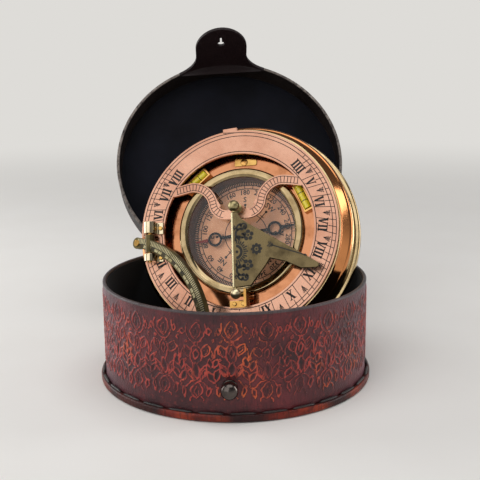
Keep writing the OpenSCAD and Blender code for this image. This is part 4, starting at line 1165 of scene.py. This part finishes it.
# the ring is cut through at its left edge for the arc's heel, and its lines stop at that slot
slot_x, slot_y = -46.2, (-10.6, 0.1)
lines = arc_bar(0, 0, inner_line, 0.45, 0, 360, 10)
for r in (outer_line, tick_line):
    low, high = (180 - math.degrees(math.asin(y / r)) for y in slot_y)
    lines += arc_bar(0, 0, r, 0.42, low, high + 360, 10)
for k in range(-33, 34):
    lines.append(bar(on_ring(tick_line, k / 4)[0], on_ring(outer_line, k / 4)[0], hairline))
names = dict(enumerate("XII I II III IIII V VI VII VIII".split()))
names |= {-1 - k: t for k, t in enumerate("XI X IX VIII VII VI V IIII".split())}
for hour, text in names.items():
    centre, way = on_ring(47.7, hour)
    up = (centre.normalized() + way).normalized()
    cuts = [(hour, inner_line, 45.0), (hour, 50.6, tick_line)]
    if hour:
        lines += numeral(text, centre, up, 5.3)
        cuts += [(hour + q, inner_line, tick_line) for q in (-0.25, 0.25) if abs(hour + q) <= 8.05]
    lines += [bar(on_ring(r0, h)[0], on_ring(r1, h)[0], hairline) for h, r0, r1 in cuts]
    if hour < 8:
        lines += fleur(*on_ring(52.4, hour + 0.5), 4.6)
lines += numeral("XII", on_ring(48.2, 0)[0], Vector((0, -1)), 4.8)


def over_slot(shape):
    x, y = np.array(shape).T
    return x.min() <= slot_x and ((slot_y[0] < y) & (y < slot_y[1])).any() and np.ptp(y) <= 20


lines = [s for s in lines if not over_slot(s)]

# the arms carry a ladder of graduations between two border lines
arm_right, arm_left_curve = Vector((25.8, 13.6)), Vector((6, 16.4))
curl = 7.8
sweep_r = (arm_right - arm_left_curve).length - curl
join = math.degrees(math.atan2(arm_left_curve.y - arm_right.y, arm_left_curve.x - arm_right.x))
path = [tuple(arm_right + polar(sweep_r, 80) + polar(t, -10)) for t in (7.4, 5, 2.5)]
path += bend(*arm_right, sweep_r, 80, join, 26) + bend(*arm_left_curve, curl, join + 180, 282, 18)[1:]
path = np.array(path)
travel = np.concatenate([[0], np.cumsum(np.hypot(*np.diff(path, axis=0).T))])


def beside(distance, off, mirror):
    """A point of the arm, at that distance along its middle line and that far to its left."""
    x, y, x2, y2 = (np.interp(d, travel, path[:, k]) for d in (distance, distance + 0.05) for k in (0, 1))
    way = Vector((x2 - x, y2 - y)).normalized()
    return Vector(((x - way.y * off) * mirror, y + way.x * off))


steps = np.linspace(0, travel[-1] - 0.1, 60)
for m in (1, -1):
    for off in (-1.75, 1.75):
        lines += [bar(beside(a, off, m), beside(b + 0.03, off, m), 0.34) for a, b in zip(steps, steps[1:])]
    for d in np.arange(0.5, travel[-1] - 0.5, 1.9):
        lines.append(bar(beside(d, -1.75, m), beside(d, 1.75, m), 0.42))
# the wax stands only a hair proud, so that the arc can fold flat over it
engraved("hour_ring_engraving", [prisms(lines, ring_top, 0.015)], dial, engraving_wax, "hour_ring", "gunmetal")

# Polished brass: a pale hard mirror on the knuckles; the lower ball is painted pale ivory as a painted highlight, with
# a rougher polish there
polished = metal("polished_brass", "#d8c9a8", "#b8a27a", 0.04, 0.10, 0.06)
worked("hinge_ears", polished, 0.25)
worked("ring_hinge_pin", gold_brass, 0.1)
worked("ring_knuckles", polished, 0.2, "hour_ring")
# painted highlight: the lower ball of the gnomon bracket is painted pale ivory all over
painted_highlight_ball = ((0, -36.4, 37.1), -3.6, 3.2, "#f4e2b8", 0.36)
ball_brass = metal("gold_brass_with_painted_highlight_ball", "#c99a55", "#966b36", 0.10, 0.2, band=painted_highlight_ball)
for node, material, width in (
    ("gnomon_bracket", ball_brass, 0.25), ("bracket_screws", gold_brass, 0.25), ("arc_bracket", polished, 0.3),
    ("arc_pin", gold_brass, 0.15),
):
    worked(node, material, width, "hour_ring")

# ---------------------------------------------------------------- gnomon
# A flat cast brass plate, aged to olive, with its front engraved: scrolls with flowers, a half sun, a small blossom
# and an arrow to the tip. It stands between two ball heads and folds flat.

gnomon_face = 37.9
# Aged brass: olive brown and dull; the pale band along the gnomon's style edge is a painted highlight, the pivots are
# worn bright, and its post is paler
aged_brass = metal("aged_olive_brass", "#665b3c", "#423b28", 0.26, 0.42, 0.5, scale=320)
painted_highlight_style_edge = ("X", -4.0, -0.6, "#cfc29c", 0.25)
edged = "aged_brass_with_painted_highlight_on_style_edge"
gnomon_brass = metal(edged, "#6c5e42", "#463c2a", 0.24, 0.40, 0.5, scale=320, band=painted_highlight_style_edge)
pale_edge = metal("worn_gnomon_pivots", "#d8c894", "#a8935c", 0.18, 0.3)
worked("gnomon_post", metal("post_brass", "#c6b98e", "#978a60", 0.28, 0.4), 0.15, "hour_ring", "antique_brass")
worked("gnomon_plate", gnomon_brass, 0.4, "gnomon", "antique_brass")
worked("gnomon_pivots", pale_edge, 0.08, "gnomon", "antique_brass")


def blossom(x, y, r, petals, turn=0):
    """A flower of oval petals round a small eye."""
    shapes = [dot(x, y, r * 0.2, 8)]
    for k in range(petals):
        way = polar(1, turn + 360 * k / petals)
        middle, side = Vector((x, y)) + way * r * 0.66, Vector((-way.y, way.x)) * r * min(0.4, 2.3 / petals)
        shapes.append([tuple(middle + way * r * 0.36 * u + side * v) for u, v in bend(0, 0, 1, 0, 360, 9)[:-1]])
    return shapes


def scroll(x, y, up):
    """A C-scroll with curled ends, a bud and a crown at the style's foot; up is 1 or -1."""
    shapes = []
    for cx, cy, r, w, a0, a1 in (
        (3.3, -3.4, 2.7, 1.25, 70, 250), (4.6, -4.6, 1.0, 0.95, -120, 100), (5.2, 0.6, 1.5, 1.0, -60, 170),
        (5.9, 0.1, 0.7, 0.85, 120, 330), (3.2, -0.2, 1.9, 1.0, 90, 215), (1.9, -6.2, 1.5, 0.95, 40, 200),
    ):
        shapes += arc_bar(cx, cy, r, w, a0, a1, 5)
        shapes += [dot(*px, w * 0.75, 8) for px in bend(cx, cy, r, a0, a1, 2)]
    shapes += [dot(dx, dy, 0.5, 8) for dx, dy in ((-0.5, 0), (0.1, 0.8), (0.1, -0.8), (0.9, 0))]
    shapes.append(bar((-0.6, 0), (2.2, -0.9), 0.4))
    return [[(x + px, y + up * py) for px, py in shape] for shape in shapes]


sun = Vector((0.6, -13.9))
ornament = scroll(0.4, -0.7, 1) + blossom(8.0, -5.2, 3.1, 5, 20)
ornament += scroll(0.6, -27.4, -1) + blossom(7.4, -21.2, 3.1, 5, 50)
ornament += arc_bar(*sun, 3.4, 1.5, -82, 82, 7) + [dot(sun.x + 0.9, sun.y, 0.8)]
for k in range(15):
    ray = polar(1, -82 + 11.7 * k)
    ornament.append(bar(sun + ray * 4.5, sun + ray * (7.2 if k % 2 else 6.4), 0.75))
ornament += blossom(12.4, -13.0, 3.2, 8)
arrow_from, arrow_to = Vector((20.6, -11.4)), Vector((38.6, -18.0))
way = (arrow_to - arrow_from).normalized()
side = Vector((-way.y, way.x))
ornament.append(bar(arrow_from, arrow_to, 0.62))
ornament.append([tuple(arrow_to + way * u + side * v) for u, v in ((1.6, 0), (0, 0.7), (-0.4, 0), (0, -0.7))])
for back, reach in ((0, 1.5), (-1.0, 1.3), (1.0, 1.0)):
    for s in (-1, 1):
        ornament.append(bar(arrow_from + way * back, arrow_from + way * (back - 0.9) + side * s * reach, 0.55))
# Old engraving: the cuts are black with age
aged_black = metal("blackened_engraving", "#17130c", "#0d0b07", 0.5, 0.7, metallic=0.0)
engraved("gnomon_engraving", [prisms(ornament, gnomon_face)], dial, aged_black, "gnomon", "gunmetal")

# ---------------------------------------------------------------- latitude arc
# A curved bar of aged brass on a hinge at the ring's edge. Its outer half is cut with fine degree ridges; the inner
# half has the tens of degrees stamped between cream panels, which are painted highlights.

arc_tilt = 22.5
arc_mid = Vector((-18.9, -61.9))
arc_face = 1.6
first_degree, last_degree = 79.0, 10.8
ridges_at, numbers_at = 60.2, 57.5
# the real ridges lie 0.9 mm apart; here they are as fine as the picture can show
ridge_count = 62
arc_place = shift(*Vector(joints["arc_pivot"]["pos_m"]) / MM) @ dial_turn @ spin(-arc_tilt, "Y")
worked("latitude_arc", aged_brass, 0.25, "latitude_arc", "antique_brass")
worked("arc_boss", gold_brass, 0.25, "latitude_arc", "antique_brass")
ridge = small_mesh("degree_ridge", *prisms([[(-1.35, -0.27), (1.35, -0.27), (1.35, 0.27), (-1.35, 0.27)]], 0, 0.2, 0.1))
# Worn brass: pale gold where fingers touch the crests of the ridges
worn_gold = metal("worn_gold_ridges", "#d6ca9e", "#a2946a", 0.24, 0.4)
to_arc, sweep = shift(*arc_mid, arc_face), first_degree - last_degree
ridges = of_mesh(ring_of("degree_ridges", ridge, ridges_at, ridge_count, last_degree, sweep, worn_gold, to_arc, False))
engraved("arc_degree_ridges", [ridges], arc_place, worn_gold, "latitude_arc", "antique_brass")
marks = [(str(10 * k), *(arc_mid + polar(numbers_at, 76.0 - 9.0 * k)), -14.0 - 9.0 * k) for k in range(8)]
panels = []
for k in range(7):
    for low, high in ((0.25, 2.9), (-2.9, -0.25)):
        panels += arc_bar(*arc_mid, numbers_at, 1.5, 71.5 - 9.0 * k + low, 71.5 - 9.0 * k + high, 4)
lines = arc_bar(*arc_mid, 58.75, 0.3, last_degree, first_degree, 8)
lines += arc_bar(*arc_mid, ridges_at, 2.9, last_degree, first_degree, 8)
marks = [prisms(lines, arc_face), words(marks, 2.1, arc_face)]
engraved("arc_engraving", marks, arc_place, aged_black, "latitude_arc", "gunmetal")
# Painted highlight: the cream panels between the numbers stand in for bright bevel highlights
painted_highlight_brass = metal("painted_highlight_panels", "#d8cda4", "#b5a678", 0.16, 0.28)
panels = [prisms(panels, arc_face, 0.12)]
engraved("arc_bright_panels", panels, arc_place, painted_highlight_brass, "latitude_arc", "champagne_brass")
